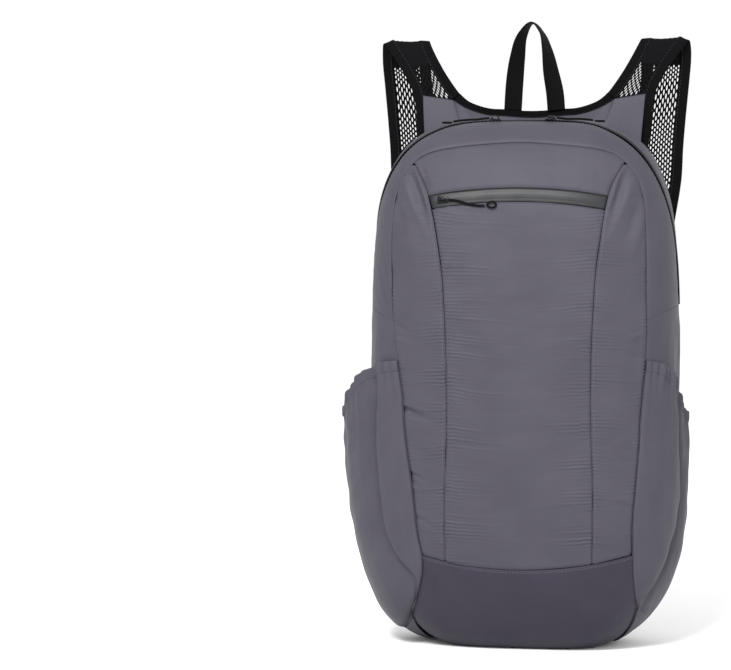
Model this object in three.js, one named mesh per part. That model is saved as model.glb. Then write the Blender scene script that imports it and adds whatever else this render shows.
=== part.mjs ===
// A packable daypack of thin coated nylon, standing on its base with its front towards -Y.
// Every panel is a sewn piece of cloth with its own wall. Lengths are millimetres, +Z is up.

import * as THREE from 'three';
import { mergeVertices } from 'three/addons/utils/BufferGeometryUtils.js';

// Bag body
const BODY_HALF_WIDTH = 126;
const BODY_HEIGHT = 434;
const WIDEST_HEIGHT = 215;
const BELLY_DEPTH = 86;
const BACK_DEPTH = 56;
const BASE_PRESS = 7;
const BASE_BLEND = 3;
const TOP_SQUARENESS = 4.2;
const BASE_SQUARENESS = 3.4;
const FRONT_FULLNESS = 3;
const BACK_FULLNESS = 4;
const FABRIC = 1.4;
const SEAM_GAP = 0.6;
const BACK_SEAM_GAP = 1.2;

// Front panel seams and the front pocket's zip
const BOTTOM_SEAM_HEIGHT = 0.1601 * BODY_HEIGHT;
const BAND_TOP = 0.8703 * BODY_HEIGHT;
const BAND_DROP = 6.7;
const BAND_WIDTH = 11.3;
const PUCKER_DEPTH = 0.9;
const PUCKER_REACH = 24;
const PUCKER_WAVES = 11;

// Main zip, sliders and pulls
const ZIP_WIDTH = 3;
const ZIP_THICK = 1.6;
const SLIDER_LENGTH = 9;
const SLIDER_WIDTH = 6;
const SLIDER_HEIGHT = 3;
const SLIDER_OFFSET = 23;
const POCKET_SLIDER_PLACE = -59;
const CORD = 1.8;
const CORD_SIDES = 8;
const LOOP_RADIUS = 2.4;
const LOOP_STRETCH = 1.5;

// Side pockets
const LEFT_BULGE = 25;
const RIGHT_BULGE = 10;
const POCKET_GATHER = 1.4;
const POCKET_WAVES = 7;
const POCKET_EASE = 3.2;
const HEM_WIDTH = 6;
const HEM_THICK = 2.2;

// Shoulder straps, yoke and haul loop
const STRAP_REACH = 132;
const STRAP_TOP = 505;
const STRAP_SETBACK = 74;
const STRAP_THICK = 2;
const BINDING_WIDTH = 9;
const BINDING_THICK = 2.6;
const NET_COLUMNS = 2;
const NET_ROWS = 20;
const TAIL_ROWS = 3;
const NET_OPEN = 0.68;
const NECK_HEIGHT = 444;
const NECK_SETBACK = 54;
const NECK_BAND = 7;
const YOKE_END_TURN = 26;
const YOKE_NECK_SHARE = 0.6;
const NECK_GAP = 0.0025;
const LOOP_WEBBING = 15;
const LOOP_THICK = 1.6;
const LOOP_RISE = 73;
const LOOP_SPREAD = 18.3;

// Lower strap ends
const WEBBING_WIDTH = 20;
const WEBBING_THICK = 1.6;
const ADJUSTER_WIDTH = 30;
const ADJUSTER_LENGTH = 18;
const ADJUSTER_THICK = 4;
const ANCHOR_TURN = 147;
const ANCHOR_TILT = -45;
const ANCHOR_LIFT = 3;

// Seam and zip lines round the body. A turn is the angle round the front view from straight up,
// and a tilt is the angle from the widest outline towards the front, in degrees.
const ZIP_END_TURN = 62;
const BOTTOM_SEAM_TURN = 147.2;
const SIDE_FOOT_TURN = 153;
const BACK_SEAM_TILT = -37;
const CORNER_TURN = 25.1;
const FRONT_SEAM = [
  { turn: 0, tilt: 34 },
  { turn: 15, tilt: 35.5 },
  { turn: 25, tilt: 34.3 },
  { turn: 33, tilt: 36 },
  { turn: 38, tilt: 39 },
  { turn: 47, tilt: 41.8 },
  { turn: 66, tilt: 43.9 },
  { turn: 94, tilt: 46.5 },
  { turn: 114, tilt: 47.7 },
  { turn: 129, tilt: 48.8 },
  { turn: 140, tilt: 47 },
  { turn: 146, tilt: 43.5 },
  { turn: 150, tilt: 38 },
  { turn: SIDE_FOOT_TURN, tilt: 30.5 },
];
const MAIN_ZIP = [
  { turn: 0, tilt: 15 },
  { turn: 10, tilt: 15.5 },
  { turn: 15, tilt: 18 },
  { turn: 20, tilt: 22 },
  { turn: 26, tilt: 23.5 },
  { turn: 32, tilt: 22 },
  { turn: 38, tilt: 17 },
  { turn: 46, tilt: 6 },
  { turn: 54, tilt: -6 },
  { turn: ZIP_END_TURN, tilt: -16 },
];
const SIDE_FOOT = [
  { tilt: -37, turn: 158 },
  { tilt: -15, turn: 160.5 },
  { tilt: 0, turn: 161 },
  { tilt: 15, turn: 159 },
  { tilt: 30.5, turn: SIDE_FOOT_TURN },
];

// Puckered seams of the front panel. Height is a share of the body's height, and reach and lean
// are shares of its half width.
const PUCKER_SEAM = [
  { height: 0.14, reach: 0.47, lean: 0.022 },
  { height: 0.24, reach: 0.473, lean: 0.024 },
  { height: 0.31, reach: 0.472, lean: 0.026 },
  { height: 0.45, reach: 0.46, lean: 0.026 },
  { height: 0.55, reach: 0.463, lean: 0.025 },
  { height: 0.634, reach: 0.474, lean: 0.024 },
  { height: 0.714, reach: 0.493, lean: 0.022 },
  { height: 0.776, reach: 0.524, lean: 0.018 },
  { height: 0.829, reach: 0.556, lean: 0.012 },
  { height: 0.88, reach: 0.608, lean: 0.004 },
  { height: 0.918, reach: 0.682, lean: 0 },
];

// Creases pressed into the front. Across and breadth are shares of the body's half width, up is
// a share of its height, and depth is a share of the belly's depth.
const CREASES = [
  { across: -0.72, up: 0.885, acrossEnd: -0.6, upEnd: 0.8, breadth: 0.05, depth: 0.03 },
  { across: -0.66, up: 0.9, acrossEnd: -0.58, upEnd: 0.83, breadth: 0.04, depth: 0.025 },
  { across: 0.74, up: 0.885, acrossEnd: 0.62, upEnd: 0.8, breadth: 0.05, depth: 0.03 },
  { across: 0.66, up: 0.9, acrossEnd: 0.6, upEnd: 0.83, breadth: 0.04, depth: 0.025 },
  { across: -0.78, up: 0.47, acrossEnd: -0.55, upEnd: 0.445, breadth: 0.05, depth: 0.025 },
  { across: -0.74, up: 0.33, acrossEnd: -0.6, upEnd: 0.3, breadth: 0.05, depth: 0.02 },
  { across: 0.8, up: 0.36, acrossEnd: 0.62, upEnd: 0.4, breadth: 0.05, depth: 0.02 },
];

// Side pocket: the mouth's turn and the bulge from the front seam (across 0) to the back seam
const POCKET_ACROSS = [
  { across: 0, mouth: 77.5, bulge: 0 },
  { across: 0.12, mouth: 81, bulge: 0.1 },
  { across: 0.22, mouth: 85, bulge: 0.22 },
  { across: 0.3, mouth: 89, bulge: 0.1 },
  { across: 0.4, mouth: 94, bulge: 0.62 },
  { across: 0.5, mouth: 98, bulge: 0.95 },
  { across: 0.62, mouth: 100, bulge: 1 },
  { across: 0.8, mouth: 101, bulge: 0.72 },
  { across: 0.93, mouth: 101, bulge: 0.22 },
  { across: 1, mouth: 101, bulge: 0 },
];
const POCKET_DOWN = [
  { down: 0, left: 1, right: 0.6 },
  { down: 0.12, left: 1, right: 0.9 },
  { down: 0.3, left: 0.98, right: 1 },
  { down: 0.6, left: 0.92, right: 1 },
  { down: 0.75, left: 0.88, right: 0.8 },
  { down: 0.86, left: 0.78, right: 0.4 },
  { down: 0.95, left: 0.5, right: 0.15 },
  { down: 1, left: 0, right: 0 },
];

// Shoulder strap from the yoke over its fold and down behind the back. Reaches are shares of
// STRAP_REACH, heights of STRAP_TOP and setbacks of STRAP_SETBACK.
const STRAP = [
  { inner: 0.477, innerUp: 0.909, outer: 0.776, outerUp: 0.903, back: 0.743 },
  { inner: 0.56, innerUp: 0.939, outer: 0.81, outerUp: 0.927, back: 0.757 },
  { inner: 0.629, innerUp: 0.97, outer: 0.864, outerUp: 0.952, back: 0.784 },
  { inner: 0.667, innerUp: 0.99, outer: 0.932, outerUp: 0.978, back: 0.824 },
  { inner: 0.686, innerUp: 1, outer: 0.989, outerUp: 0.997, back: 0.892 },
  { inner: 0.69, innerUp: 0.99, outer: 1, outerUp: 0.985, back: 0.96 },
  { inner: 0.69, innerUp: 0.965, outer: 1, outerUp: 0.96, back: 0.986 },
  { inner: 0.678, innerUp: 0.93, outer: 0.99, outerUp: 0.93, back: 1 },
  { inner: 0.65, innerUp: 0.865, outer: 0.967, outerUp: 0.865, back: 1 },
  { inner: 0.633, innerUp: 0.818, outer: 0.953, outerUp: 0.818, back: 1 },
  { inner: 0.617, innerUp: 0.762, outer: 0.942, outerUp: 0.762, back: 0.99 },
  { inner: 0.576, innerUp: 0.68, outer: 0.894, outerUp: 0.68, back: 0.96 },
  { inner: 0.53, innerUp: 0.56, outer: 0.833, outerUp: 0.56, back: 0.95 },
  { inner: 0.5, innerUp: 0.44, outer: 0.78, outerUp: 0.44, back: 0.94 },
  { inner: 0.5, innerUp: 0.34, outer: 0.742, outerUp: 0.34, back: 0.93 },
];
const OUTER_TAIL = [
  { outer: 0.765, outerUp: 0.75, back: 0.64 },
  { outer: 0.776, outerUp: 0.83, back: 0.69 },
];
// Neckline between the straps: reach as a share of STRAP_REACH, rise as a share of NECK_HEIGHT
const NECKLINE = [
  { reach: 0, rise: 1 },
  { reach: 0.07, rise: 1.0007 },
  { reach: 0.185, rise: 1.0036 },
  { reach: 0.28, rise: 1.0054 },
  { reach: 0.376, rise: 1.0135 },
  { reach: 0.43, rise: 1.0215 },
];
// Haul loop: reach as a share of LOOP_SPREAD, rise of LOOP_RISE, and how far the webbing is
// twisted from facing the front, in degrees
const HAUL_LOOP = [
  { reach: -0.95, rise: 0, twist: 0 },
  { reach: -0.86, rise: 0.3, twist: 15 },
  { reach: -0.72, rise: 0.58, twist: 38 },
  { reach: -0.5, rise: 0.83, twist: 62 },
  { reach: -0.05, rise: 0.98, twist: 88 },
  { reach: 0.36, rise: 0.87, twist: 82 },
  { reach: 0.6, rise: 0.68, twist: 62 },
  { reach: 0.8, rise: 0.42, twist: 35 },
  { reach: 1, rise: 0.18, twist: 12 },
  { reach: 1.08, rise: 0, twist: 0 },
];

// Zip pull cords: route points chosen on the cloth that each pull lies on
const LEFT_PULL = [
  [-27.9, -23.2, 435.0], [-30.0, -23.0, 434.9], [-32.1, -22.5, 434.8], [-34.2, -21.7, 434.6],
  [-36.3, -20.7, 434.4], [-38.4, -19.6, 434.2], [-40.5, -18.4, 434.2], [-42.6, -17.2, 434.2],
  [-44.7, -16.0, 434.2], [-46.8, -14.9, 434.1], [-48.9, -13.9, 434.0], [-51.0, -13.0, 433.9],
  [-53.1, -12.2, 433.7], [-55.2, -11.6, 433.5], [-57.2, -11.2, 433.2], [-59.2, -11.0, 432.9],
];
const RIGHT_PULL = [
  [27.9, -23.2, 435.0], [29.9, -22.7, 434.9], [31.8, -21.8, 434.7], [33.6, -20.6, 434.4],
  [35.3, -19.2, 434.3], [37.0, -17.7, 434.3], [38.7, -16.1, 434.4], [40.4, -14.6, 434.4],
  [42.2, -13.1, 434.5], [44.0, -11.8, 434.5], [45.9, -10.6, 434.4], [47.9, -9.6, 434.3],
  [49.9, -8.8, 434.2], [51.9, -8.2, 434.0], [53.9, -7.8, 433.8], [56.0, -7.6, 433.5],
];
const POCKET_PULL = [
  [-54.2, -75.4, 367.7], [-52.2, -75.3, 367.7], [-50.2, -75.4, 367.5], [-48.3, -75.6, 367.2],
  [-46.4, -75.8, 366.8], [-44.5, -76.1, 366.3], [-42.6, -76.4, 365.7], [-40.7, -76.6, 365.1],
  [-38.8, -76.8, 364.5], [-36.9, -77.0, 364.0], [-34.9, -77.2, 363.6], [-32.8, -77.4, 363.3],
  [-30.8, -77.6, 363.1], [-28.8, -77.7, 363.0], [-26.8, -77.8, 363.0], [-24.8, -77.8, 363.2],
];

const FINISHES = {
  greyNylon: { color: 0x6f6c76, roughness: 0.62, metalness: 0 },
  lowerNylon: { color: 0x5e5b66, roughness: 0.62, metalness: 0 },
  blackBinding: { color: 0x0a0b0c, roughness: 0.85, metalness: 0 },
  blackMesh: { color: 0x101214, roughness: 0.9, metalness: 0 },
  blackWebbing: { color: 0x08090a, roughness: 0.85, metalness: 0 },
  zipLaminate: { color: 0x42474b, roughness: 0.45, metalness: 0 },
  zipCoil: { color: 0x14151a, roughness: 0.5, metalness: 0 },
  sliderMetal: { color: 0x1a1b1e, roughness: 0.4, metalness: 0.6 },
  pullCord: { color: 0x0c0c0e, roughness: 0.8, metalness: 0 },
  bucklePlastic: { color: 0x111214, roughness: 0.5, metalness: 0 },
};

const rad = THREE.MathUtils.degToRad;
const lerp = THREE.MathUtils.lerp;
const clamp = THREE.MathUtils.clamp;

// Reads a column of a table as a smooth curve through its rows
function read(table, key, column, at) {
  const last = table.length - 1;
  const place = clamp(at, table[0][key], table[last][key]);
  let row = 0;
  while (row < last - 1 && place > table[row + 1][key]) {
    row += 1;
  }
  const slope = (i) => {
    const before = table[Math.max(i - 1, 0)];
    const after = table[Math.min(i + 1, last)];
    return (after[column] - before[column]) / (after[key] - before[key]);
  };
  const span = table[row + 1][key] - table[row][key];
  const t = (place - table[row][key]) / span;
  const start = table[row][column];
  const end = table[row + 1][column];
  const rise = t * t * (3 - 2 * t);
  const lead = t * (1 - t) * (1 - t) * span * slope(row);
  const trail = t * t * (t - 1) * span * slope(row + 1);
  return lerp(start, end, rise) + lead + trail;
}

// The body's outline radius in the front view, measured from the widest level
function outline(turn) {
  const upper = Math.cos(turn) > 0;
  const height = upper ? BODY_HEIGHT - WIDEST_HEIGHT : WIDEST_HEIGHT + BASE_PRESS;
  const power = upper ? TOP_SQUARENESS : BASE_SQUARENESS;
  const across = Math.abs(Math.sin(turn)) / BODY_HALF_WIDTH;
  const upright = Math.abs(Math.cos(turn)) / height;
  return (across ** power + upright ** power) ** (-1 / power);
}

// The round base is pressed flat where it stands
function press(height) {
  const lowest = clamp(height, -BASE_BLEND, BASE_BLEND);
  return height > BASE_BLEND ? height : (lowest + BASE_BLEND) ** 2 / (4 * BASE_BLEND);
}

// A point of the body's skin at a turn and a tilt, both in radians
function skin(turn, tilt) {
  const front = tilt > 0;
  const fullness = front ? FRONT_FULLNESS : BACK_FULLNESS;
  const depth = front ? -BELLY_DEPTH : BACK_DEPTH;
  const out = Math.cos(tilt);
  const swell = Math.abs(Math.sin(tilt));
  const scale = (out ** fullness + swell ** fullness) ** (-1 / fullness);
  const radius = outline(turn) * out * scale;
  const height = WIDEST_HEIGHT + radius * Math.cos(turn);
  return new THREE.Vector3(radius * Math.sin(turn), depth * swell * scale, press(height));
}

// The skin with a lift along its outward normal
function lifted(turn, tilt, lift) {
  const step = 0.004;
  const point = skin(turn, tilt);
  const along = skin(turn + step, tilt).sub(skin(turn - step, tilt));
  const across = skin(turn, tilt - step).sub(skin(turn, tilt + step));
  return point.addScaledVector(along.cross(across).normalize(), lift);
}

// How far a tilt moves for one millimetre along the skin
function slip(turn, tilt) {
  const step = 0.01;
  return 2 * step / skin(turn, tilt + step).distanceTo(skin(turn, tilt - step));
}

function frontTilt(turn) {
  return rad(read(FRONT_SEAM, 'turn', 'tilt', Math.abs(THREE.MathUtils.radToDeg(turn))));
}

function zipTilt(turn) {
  return rad(read(MAIN_ZIP, 'turn', 'tilt', Math.abs(THREE.MathUtils.radToDeg(turn))));
}

function footTurn(tilt) {
  return rad(read(SIDE_FOOT, 'tilt', 'turn', THREE.MathUtils.radToDeg(tilt)));
}

// Depth that the creases press into the front at a place
function creased(x, z) {
  let depth = 0;
  for (const crease of CREASES) {
    const start = new THREE.Vector2(crease.across * BODY_HALF_WIDTH, crease.up * BODY_HEIGHT);
    const end = new THREE.Vector2(crease.acrossEnd * BODY_HALF_WIDTH, crease.upEnd * BODY_HEIGHT);
    const run = end.clone().sub(start);
    const spot = new THREE.Vector2(x, z).sub(start);
    const t = clamp(spot.dot(run) / run.lengthSq(), 0, 1);
    const away = spot.sub(run.multiplyScalar(t)).length();
    const fade = Math.sin(Math.PI * clamp(t, 0.15, 0.85));
    const breadth = crease.breadth * BODY_HALF_WIDTH;
    depth += crease.depth * BELLY_DEPTH * fade * Math.exp(-((away / breadth) ** 2));
  }
  return depth;
}

// A point of the body's front face over a place in the front view
function frontFace(x, z) {
  const rise = z - WIDEST_HEIGHT;
  const share = Math.hypot(x, rise) / outline(Math.atan2(x, rise));
  const swell = Math.max(0, 1 - share ** FRONT_FULLNESS) ** (1 / FRONT_FULLNESS);
  const edge = clamp((0.9 - share) / 0.15, 0, 1);
  return new THREE.Vector3(x, creased(x, z) * edge - BELLY_DEPTH * swell, press(z));
}

// The front seam's place in the front view, drawn in by a margin
function frontSeam(turn, margin) {
  const point = skin(turn, frontTilt(turn));
  const radius = Math.hypot(point.x, point.z - WIDEST_HEIGHT) - margin;
  return new THREE.Vector2(radius * Math.sin(turn), WIDEST_HEIGHT + radius * Math.cos(turn));
}

// The puckered seam's place at a height, on one side of the front panel
function puckerSeam(height, side) {
  const share = height / BODY_HEIGHT;
  const reach = read(PUCKER_SEAM, 'height', 'reach', share);
  const lean = read(PUCKER_SEAM, 'height', 'lean', share);
  return (side * reach + lean) * BODY_HALF_WIDTH;
}

function bottomSeam(x) {
  const end = frontSeam(rad(BOTTOM_SEAM_TURN), 0);
  return lerp(BOTTOM_SEAM_HEIGHT, end.y, (x / end.x) ** 2);
}

function bandTop(x) {
  const end = puckerSeam(BAND_TOP - BAND_DROP, 1);
  return BAND_TOP - BAND_DROP * (x / end) ** 2;
}

// Puckers along a seam, fading with the distance from it
function puckered(along, distance) {
  const wave = 0.5 - 0.5 * Math.cos(2 * Math.PI * PUCKER_WAVES * along);
  return PUCKER_DEPTH * wave * Math.exp(-distance / PUCKER_REACH);
}

// A closed body from a geometry whose corners are joined
function closed(geometry) {
  geometry.deleteAttribute('normal');
  geometry.deleteAttribute('uv');
  const joined = mergeVertices(geometry, 1e-4);
  joined.computeVertexNormals();
  return joined;
}

// A point below the surface that place(u, v) gives, with u across v facing outwards
function under(place, u, v, depth) {
  const step = 1e-3;
  const along = place(u + step, v).sub(place(u - step, v));
  const across = place(u, v + step).sub(place(u, v - step));
  return place(u, v).addScaledVector(along.cross(across).normalize(), -depth);
}

// A cloth wall under a surface
function shell(columns, rows, place, thickness = FABRIC) {
  const geometry = new THREE.BoxGeometry(1, 1, 1, columns, rows, 1);
  const spots = geometry.attributes.position;
  for (let i = 0; i < spots.count; i += 1) {
    const deep = 0.5 - spots.getZ(i);
    const point = under(place, spots.getX(i) + 0.5, spots.getY(i) + 0.5, deep * thickness);
    spots.setXYZ(i, point.x, point.y, point.z);
  }
  return closed(geometry);
}

// A net wall under a surface: each cell is a square frame round a lozenge that is cut through
function net(columns, rows, place, thickness) {
  const corners = [];
  const face = (...points) => {
    for (const [u, v, depth] of points) {
      corners.push(...under(place, u, v, depth).toArray());
    }
  };
  const cap = (a, b, c) => {
    face([...a, 0], [...b, 0], [...c, 0]);
    face([...c, thickness], [...b, thickness], [...a, thickness]);
  };
  const wall = (a, b) => {
    face([...a, 0], [...b, 0], [...b, thickness]);
    face([...a, 0], [...b, thickness], [...a, thickness]);
  };
  for (let column = 0; column < columns; column += 1) {
    for (let row = 0; row < rows; row += 1) {
      const at = (across, up) => [(column + across) / columns, (row + up) / rows];
      const square = [at(0, 0), at(1, 0), at(1, 1), at(0, 1)];
      const low = (1 - NET_OPEN) / 2;
      const high = (1 + NET_OPEN) / 2;
      const hole = [at(0.5, low), at(high, 0.5), at(0.5, high), at(low, 0.5)];
      const rim = [row === 0, column === columns - 1, row === rows - 1, column === 0];
      for (let k = 0; k < 4; k += 1) {
        const next = (k + 1) % 4;
        cap(square[k], square[next], hole[k]);
        cap(square[next], hole[next], hole[k]);
        wall(hole[k], hole[next]);
        if (rim[k]) {
          wall(square[next], square[k]);
        }
      }
    }
  }
  const geometry = new THREE.BufferGeometry();
  geometry.setAttribute('position', new THREE.Float32BufferAttribute(corners, 3));
  return closed(geometry);
}

// The same surface on the other side of the bag
function sided(place, side) {
  return (u, v) => {
    const point = place(side > 0 ? u : 1 - u, v);
    point.x *= side;
    return point;
  };
}

const bag = new THREE.Group();

function add(name, geometry, finish) {
  const mesh = new THREE.Mesh(geometry, new THREE.MeshStandardMaterial(FINISHES[finish]));
  mesh.name = name;
  bag.add(mesh);
  return mesh;
}

const HALF_GAP = SEAM_GAP / 2;

// How far the upper panel's side edge bows from a straight line to follow the puckered seam
function upperEdgeBow(hand, v) {
  const corner = frontSeam(hand * rad(CORNER_TURN), 0);
  const height = lerp(BAND_TOP - BAND_DROP, corner.y, clamp(v, 0, 1));
  const straight = lerp(puckerSeam(BAND_TOP - BAND_DROP, hand), corner.x, clamp(v, 0, 1));
  return puckerSeam(height, hand) - straight;
}

// Upper front panel, from the pocket zip to the front seam
function upperFrontPanel(u, v) {
  const side = 2 * u - 1;
  const foot = puckerSeam(BAND_TOP - BAND_DROP, Math.sign(side) || 1);
  const footX = Math.abs(side) * (foot - Math.sign(side) * HALF_GAP);
  const top = frontSeam(side * rad(CORNER_TURN), SEAM_GAP);
  const height = lerp(bandTop(footX) + HALF_GAP, top.y, v);
  const across = lerp(footX, top.x - side * HALF_GAP, v);
  return frontFace(across + side ** 2 * upperEdgeBow(Math.sign(side) || 1, v), height);
}

// Laminated zip of the front pocket, a slim band across the panel
function pocketZip(u, v) {
  const side = 2 * u - 1;
  const end = puckerSeam(BAND_TOP - BAND_DROP - BAND_WIDTH * (1 - v), Math.sign(side) || 1);
  const across = Math.abs(side) * (end - Math.sign(side) * HALF_GAP);
  const height = lerp(bandTop(across) - BAND_WIDTH + HALF_GAP, bandTop(across) - HALF_GAP, v);
  return frontFace(across, height);
}

// Front panel between the puckered seams, from the bottom seam to the pocket zip
function frontPanel(u, v) {
  const side = 2 * u - 1;
  const low = BOTTOM_SEAM_HEIGHT;
  const guess = lerp(low, BAND_TOP - BAND_DROP - BAND_WIDTH, v);
  const wide = puckerSeam(guess, Math.sign(side) || 1);
  const across = Math.abs(side) * (wide - Math.sign(side) * HALF_GAP);
  const height = lerp(bottomSeam(across) + HALF_GAP, bandTop(across) - BAND_WIDTH - HALF_GAP, v);
  const point = frontFace(across, height);
  point.y -= puckered(v, Math.abs(wide - across));
  return point;
}

// Front side panel, from a puckered seam to the front seam
function frontSidePanel(side) {
  return (u, v) => {
    const share = side > 0 ? u : 1 - u;
    const turn = lerp(rad(BOTTOM_SEAM_TURN), rad(CORNER_TURN + 1), v);
    const seam = frontSeam(turn, SEAM_GAP);
    const foot = bottomSeam(puckerSeam(BOTTOM_SEAM_HEIGHT, side)) - frontSeam(rad(BOTTOM_SEAM_TURN), 0).y;
    const drop = foot * (1 - share) * (1 - v) ** 4;
    const height = seam.y + HALF_GAP + drop;
    const inner = puckerSeam(height, side) + side * HALF_GAP;
    const across = lerp(inner, side * seam.x, share);
    const point = frontFace(across, height);
    point.y -= puckered(v, Math.abs(across - inner)) * Math.min(1, 8 * (1 - share)) * (1 - v ** 8);
    return point;
  };
}

// Bottom panel, from the bottom seam down under the base to the back seam
function bottomPanel(u, v) {
  const side = 1 - 2 * u;
  const gap = HALF_GAP / BODY_HALF_WIDTH;
  const bend = 0.4;
  const end = frontSeam(rad(BOTTOM_SEAM_TURN), HALF_GAP).x;
  const x = side * (end - HALF_GAP);
  const z = bottomSeam(x) - HALF_GAP;
  const startTurn = Math.PI - Math.atan2(x, WIDEST_HEIGHT - z);
  const startShare = Math.hypot(x, WIDEST_HEIGHT - z) / outline(startTurn);
  const startSwell = (1 - startShare ** FRONT_FULLNESS) ** (1 / FRONT_FULLNESS);
  const startTilt = Math.atan2(startSwell, startShare);
  const footTilt = frontTilt(rad(SIDE_FOOT_TURN));
  if (v < bend) {
    const down = v / bend;
    const turn = lerp(startTurn, lerp(rad(SIDE_FOOT_TURN) + gap, 2 * Math.PI - rad(SIDE_FOOT_TURN) - gap, u), down);
    const plain = lerp(startTilt, footTilt, down);
    const seamTurn = turn > Math.PI ? 2 * Math.PI - turn : turn;
    const edge = frontTilt(seamTurn) + HALF_GAP * slip(turn, footTilt);
    return skin(turn, lerp(plain, Math.max(plain, edge), side ** 8 * Math.sin(Math.PI * down)));
  }
  const under = (v - bend) / (1 - bend);
  const backTilt = rad(BACK_SEAM_TILT);
  const tilt = lerp(footTilt, backTilt + HALF_GAP * slip(Math.PI, backTilt), under);
  const foot = footTurn(tilt) + gap;
  return skin(lerp(foot, 2 * Math.PI - foot, u), tilt);
}

// A strip over the top between two lines of tilt
function topStrip(fore, aft, lift) {
  return (u, v) => {
    const end = rad(ZIP_END_TURN) - HALF_GAP / BODY_HALF_WIDTH;
    const turn = lerp(-end, end, u);
    return lifted(turn, lerp(fore(turn), aft(turn), v), lift);
  };
}

const zipHalf = ZIP_WIDTH / 2;
const foreOfSeam = (turn) => frontTilt(turn) - HALF_GAP * slip(turn, frontTilt(turn));
const foreOfZip = (turn) => zipTilt(turn) + zipHalf * slip(turn, zipTilt(turn));
const aftOfZip = (turn) => zipTilt(turn) - zipHalf * slip(turn, zipTilt(turn));
const foreEdge = (turn) => foreOfZip(turn) + SEAM_GAP * slip(turn, zipTilt(turn));
const aftEdge = (turn) => aftOfZip(turn) - SEAM_GAP * slip(turn, zipTilt(turn));
const backSeam = (turn) => rad(BACK_SEAM_TILT) + HALF_GAP * slip(turn, rad(BACK_SEAM_TILT));

// Side panel, from the end of the zip down to the bottom panel
function sidePanel(u, v) {
  const gap = HALF_GAP / BODY_HALF_WIDTH;
  const backTilt = rad(BACK_SEAM_TILT);
  const foot = footTurn(lerp(frontTilt(rad(SIDE_FOOT_TURN)), backTilt, v)) - gap;
  const turn = lerp(rad(ZIP_END_TURN) + gap, foot, u);
  return skin(turn, lerp(foreOfSeam(turn), backSeam(turn), v));
}

// Back panel inside the back seam
function backPanel(u, v) {
  const across = 1 - 2 * u;
  const up = 2 * v - 1;
  const ring = Math.max(Math.abs(across), Math.abs(up));
  const turn = Math.atan2(across * BODY_HALF_WIDTH, up * WIDEST_HEIGHT);
  const seam = skin(turn, rad(BACK_SEAM_TILT));
  const radius = ring * (Math.hypot(seam.x, seam.z - WIDEST_HEIGHT) - BACK_SEAM_GAP);
  const share = radius / outline(turn);
  const swell = (1 - share ** BACK_FULLNESS) ** (1 / BACK_FULLNESS);
  const height = WIDEST_HEIGHT + radius * Math.cos(turn);
  return new THREE.Vector3(radius * Math.sin(turn), BACK_DEPTH * swell, press(height));
}

// Side pocket: an open-topped bulging cloth over the side panel
function pocketLift(down, across, bulge, side) {
  const column = side > 0 ? 'right' : 'left';
  const swell = read(POCKET_ACROSS, 'across', 'bulge', across) * read(POCKET_DOWN, 'down', column, down);
  const wave = 0.5 - 0.5 * Math.cos(2 * Math.PI * POCKET_WAVES * across);
  const gather = POCKET_GATHER * wave * Math.exp(-4 * down) * Math.sin(Math.PI * across);
  return FABRIC + SEAM_GAP + POCKET_EASE + bulge * Math.max(0, swell) + gather;
}

function pocketPoint(down, across, lift) {
  const foot = footTurn(lerp(frontTilt(rad(SIDE_FOOT_TURN)), rad(BACK_SEAM_TILT), across));
  const mouth = rad(read(POCKET_ACROSS, 'across', 'mouth', across));
  const turn = lerp(mouth, foot - SEAM_GAP / BODY_HALF_WIDTH, down);
  const tilt = lerp(foreOfSeam(turn), backSeam(turn), across);
  const point = lifted(turn, tilt, lift);
  point.z = Math.max(point.z, 0);
  return point;
}

function sidePocket(bulge, side) {
  return sided((u, v) => pocketPoint(u, v, pocketLift(u, v, bulge, side)), side);
}

// Elastic hem along the pocket's mouth
function pocketHem(bulge, side) {
  return sided((u, v) => {
    const above = lerp(HEM_WIDTH, 2 * SEAM_GAP, u) / BODY_HALF_WIDTH;
    const mouth = rad(read(POCKET_ACROSS, 'across', 'mouth', v)) - above;
    const tilt = lerp(foreOfSeam(mouth), backSeam(mouth), v);
    return lifted(mouth, tilt, pocketLift(0, v, bulge, side) + HEM_THICK - FABRIC);
  }, side);
}

// A point beside a curve, at a distance towards a direction and square to the curve
function beside(curve, t, toward, distance) {
  const at = clamp(t, 0, 1);
  const along = curve.getTangent(at);
  const away = toward.clone().addScaledVector(along, -along.dot(toward)).normalize();
  return curve.getPoint(at).addScaledVector(away, distance);
}

// Edge lines of a strap. The inner one starts at the middle of the neckline, and the outer one
// starts with a tail behind the yoke.
function innerLine(side) {
  const neck = NECKLINE.map((row) => new THREE.Vector3(
    side * row.reach * STRAP_REACH,
    NECK_SETBACK,
    row.rise * NECK_HEIGHT,
  ));
  const strap = STRAP.map((row) => new THREE.Vector3(
    side * row.inner * STRAP_REACH,
    row.back * STRAP_SETBACK,
    row.innerUp * STRAP_TOP,
  ));
  return new THREE.CatmullRomCurve3([...neck, ...strap]);
}

function outerLine(side) {
  return new THREE.CatmullRomCurve3([...OUTER_TAIL, ...STRAP].map((row) => new THREE.Vector3(
    side * row.outer * STRAP_REACH,
    row.back * STRAP_SETBACK,
    row.outerUp * STRAP_TOP,
  )));
}

const NECK_SHARE = NECKLINE.length / (NECKLINE.length + STRAP.length - 1);
const TAIL_SHARE = OUTER_TAIL.length / (OUTER_TAIL.length + STRAP.length - 1);

// Place along a strap, evened out between the table's rows and the strap's length
const strapMiddle = new THREE.CatmullRomCurve3(STRAP.map((row) => new THREE.Vector3(
  (row.inner + row.outer) / 2 * STRAP_REACH,
  row.back * STRAP_SETBACK,
  (row.innerUp + row.outerUp) / 2 * STRAP_TOP,
)));
function strapPlace(v) {
  const share = clamp(v, 0, 1);
  return lerp(share, strapMiddle.getUtoTmapping(share, 0), 0.5);
}
const sideways = (side) => new THREE.Vector3(side, 0, 0);

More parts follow.
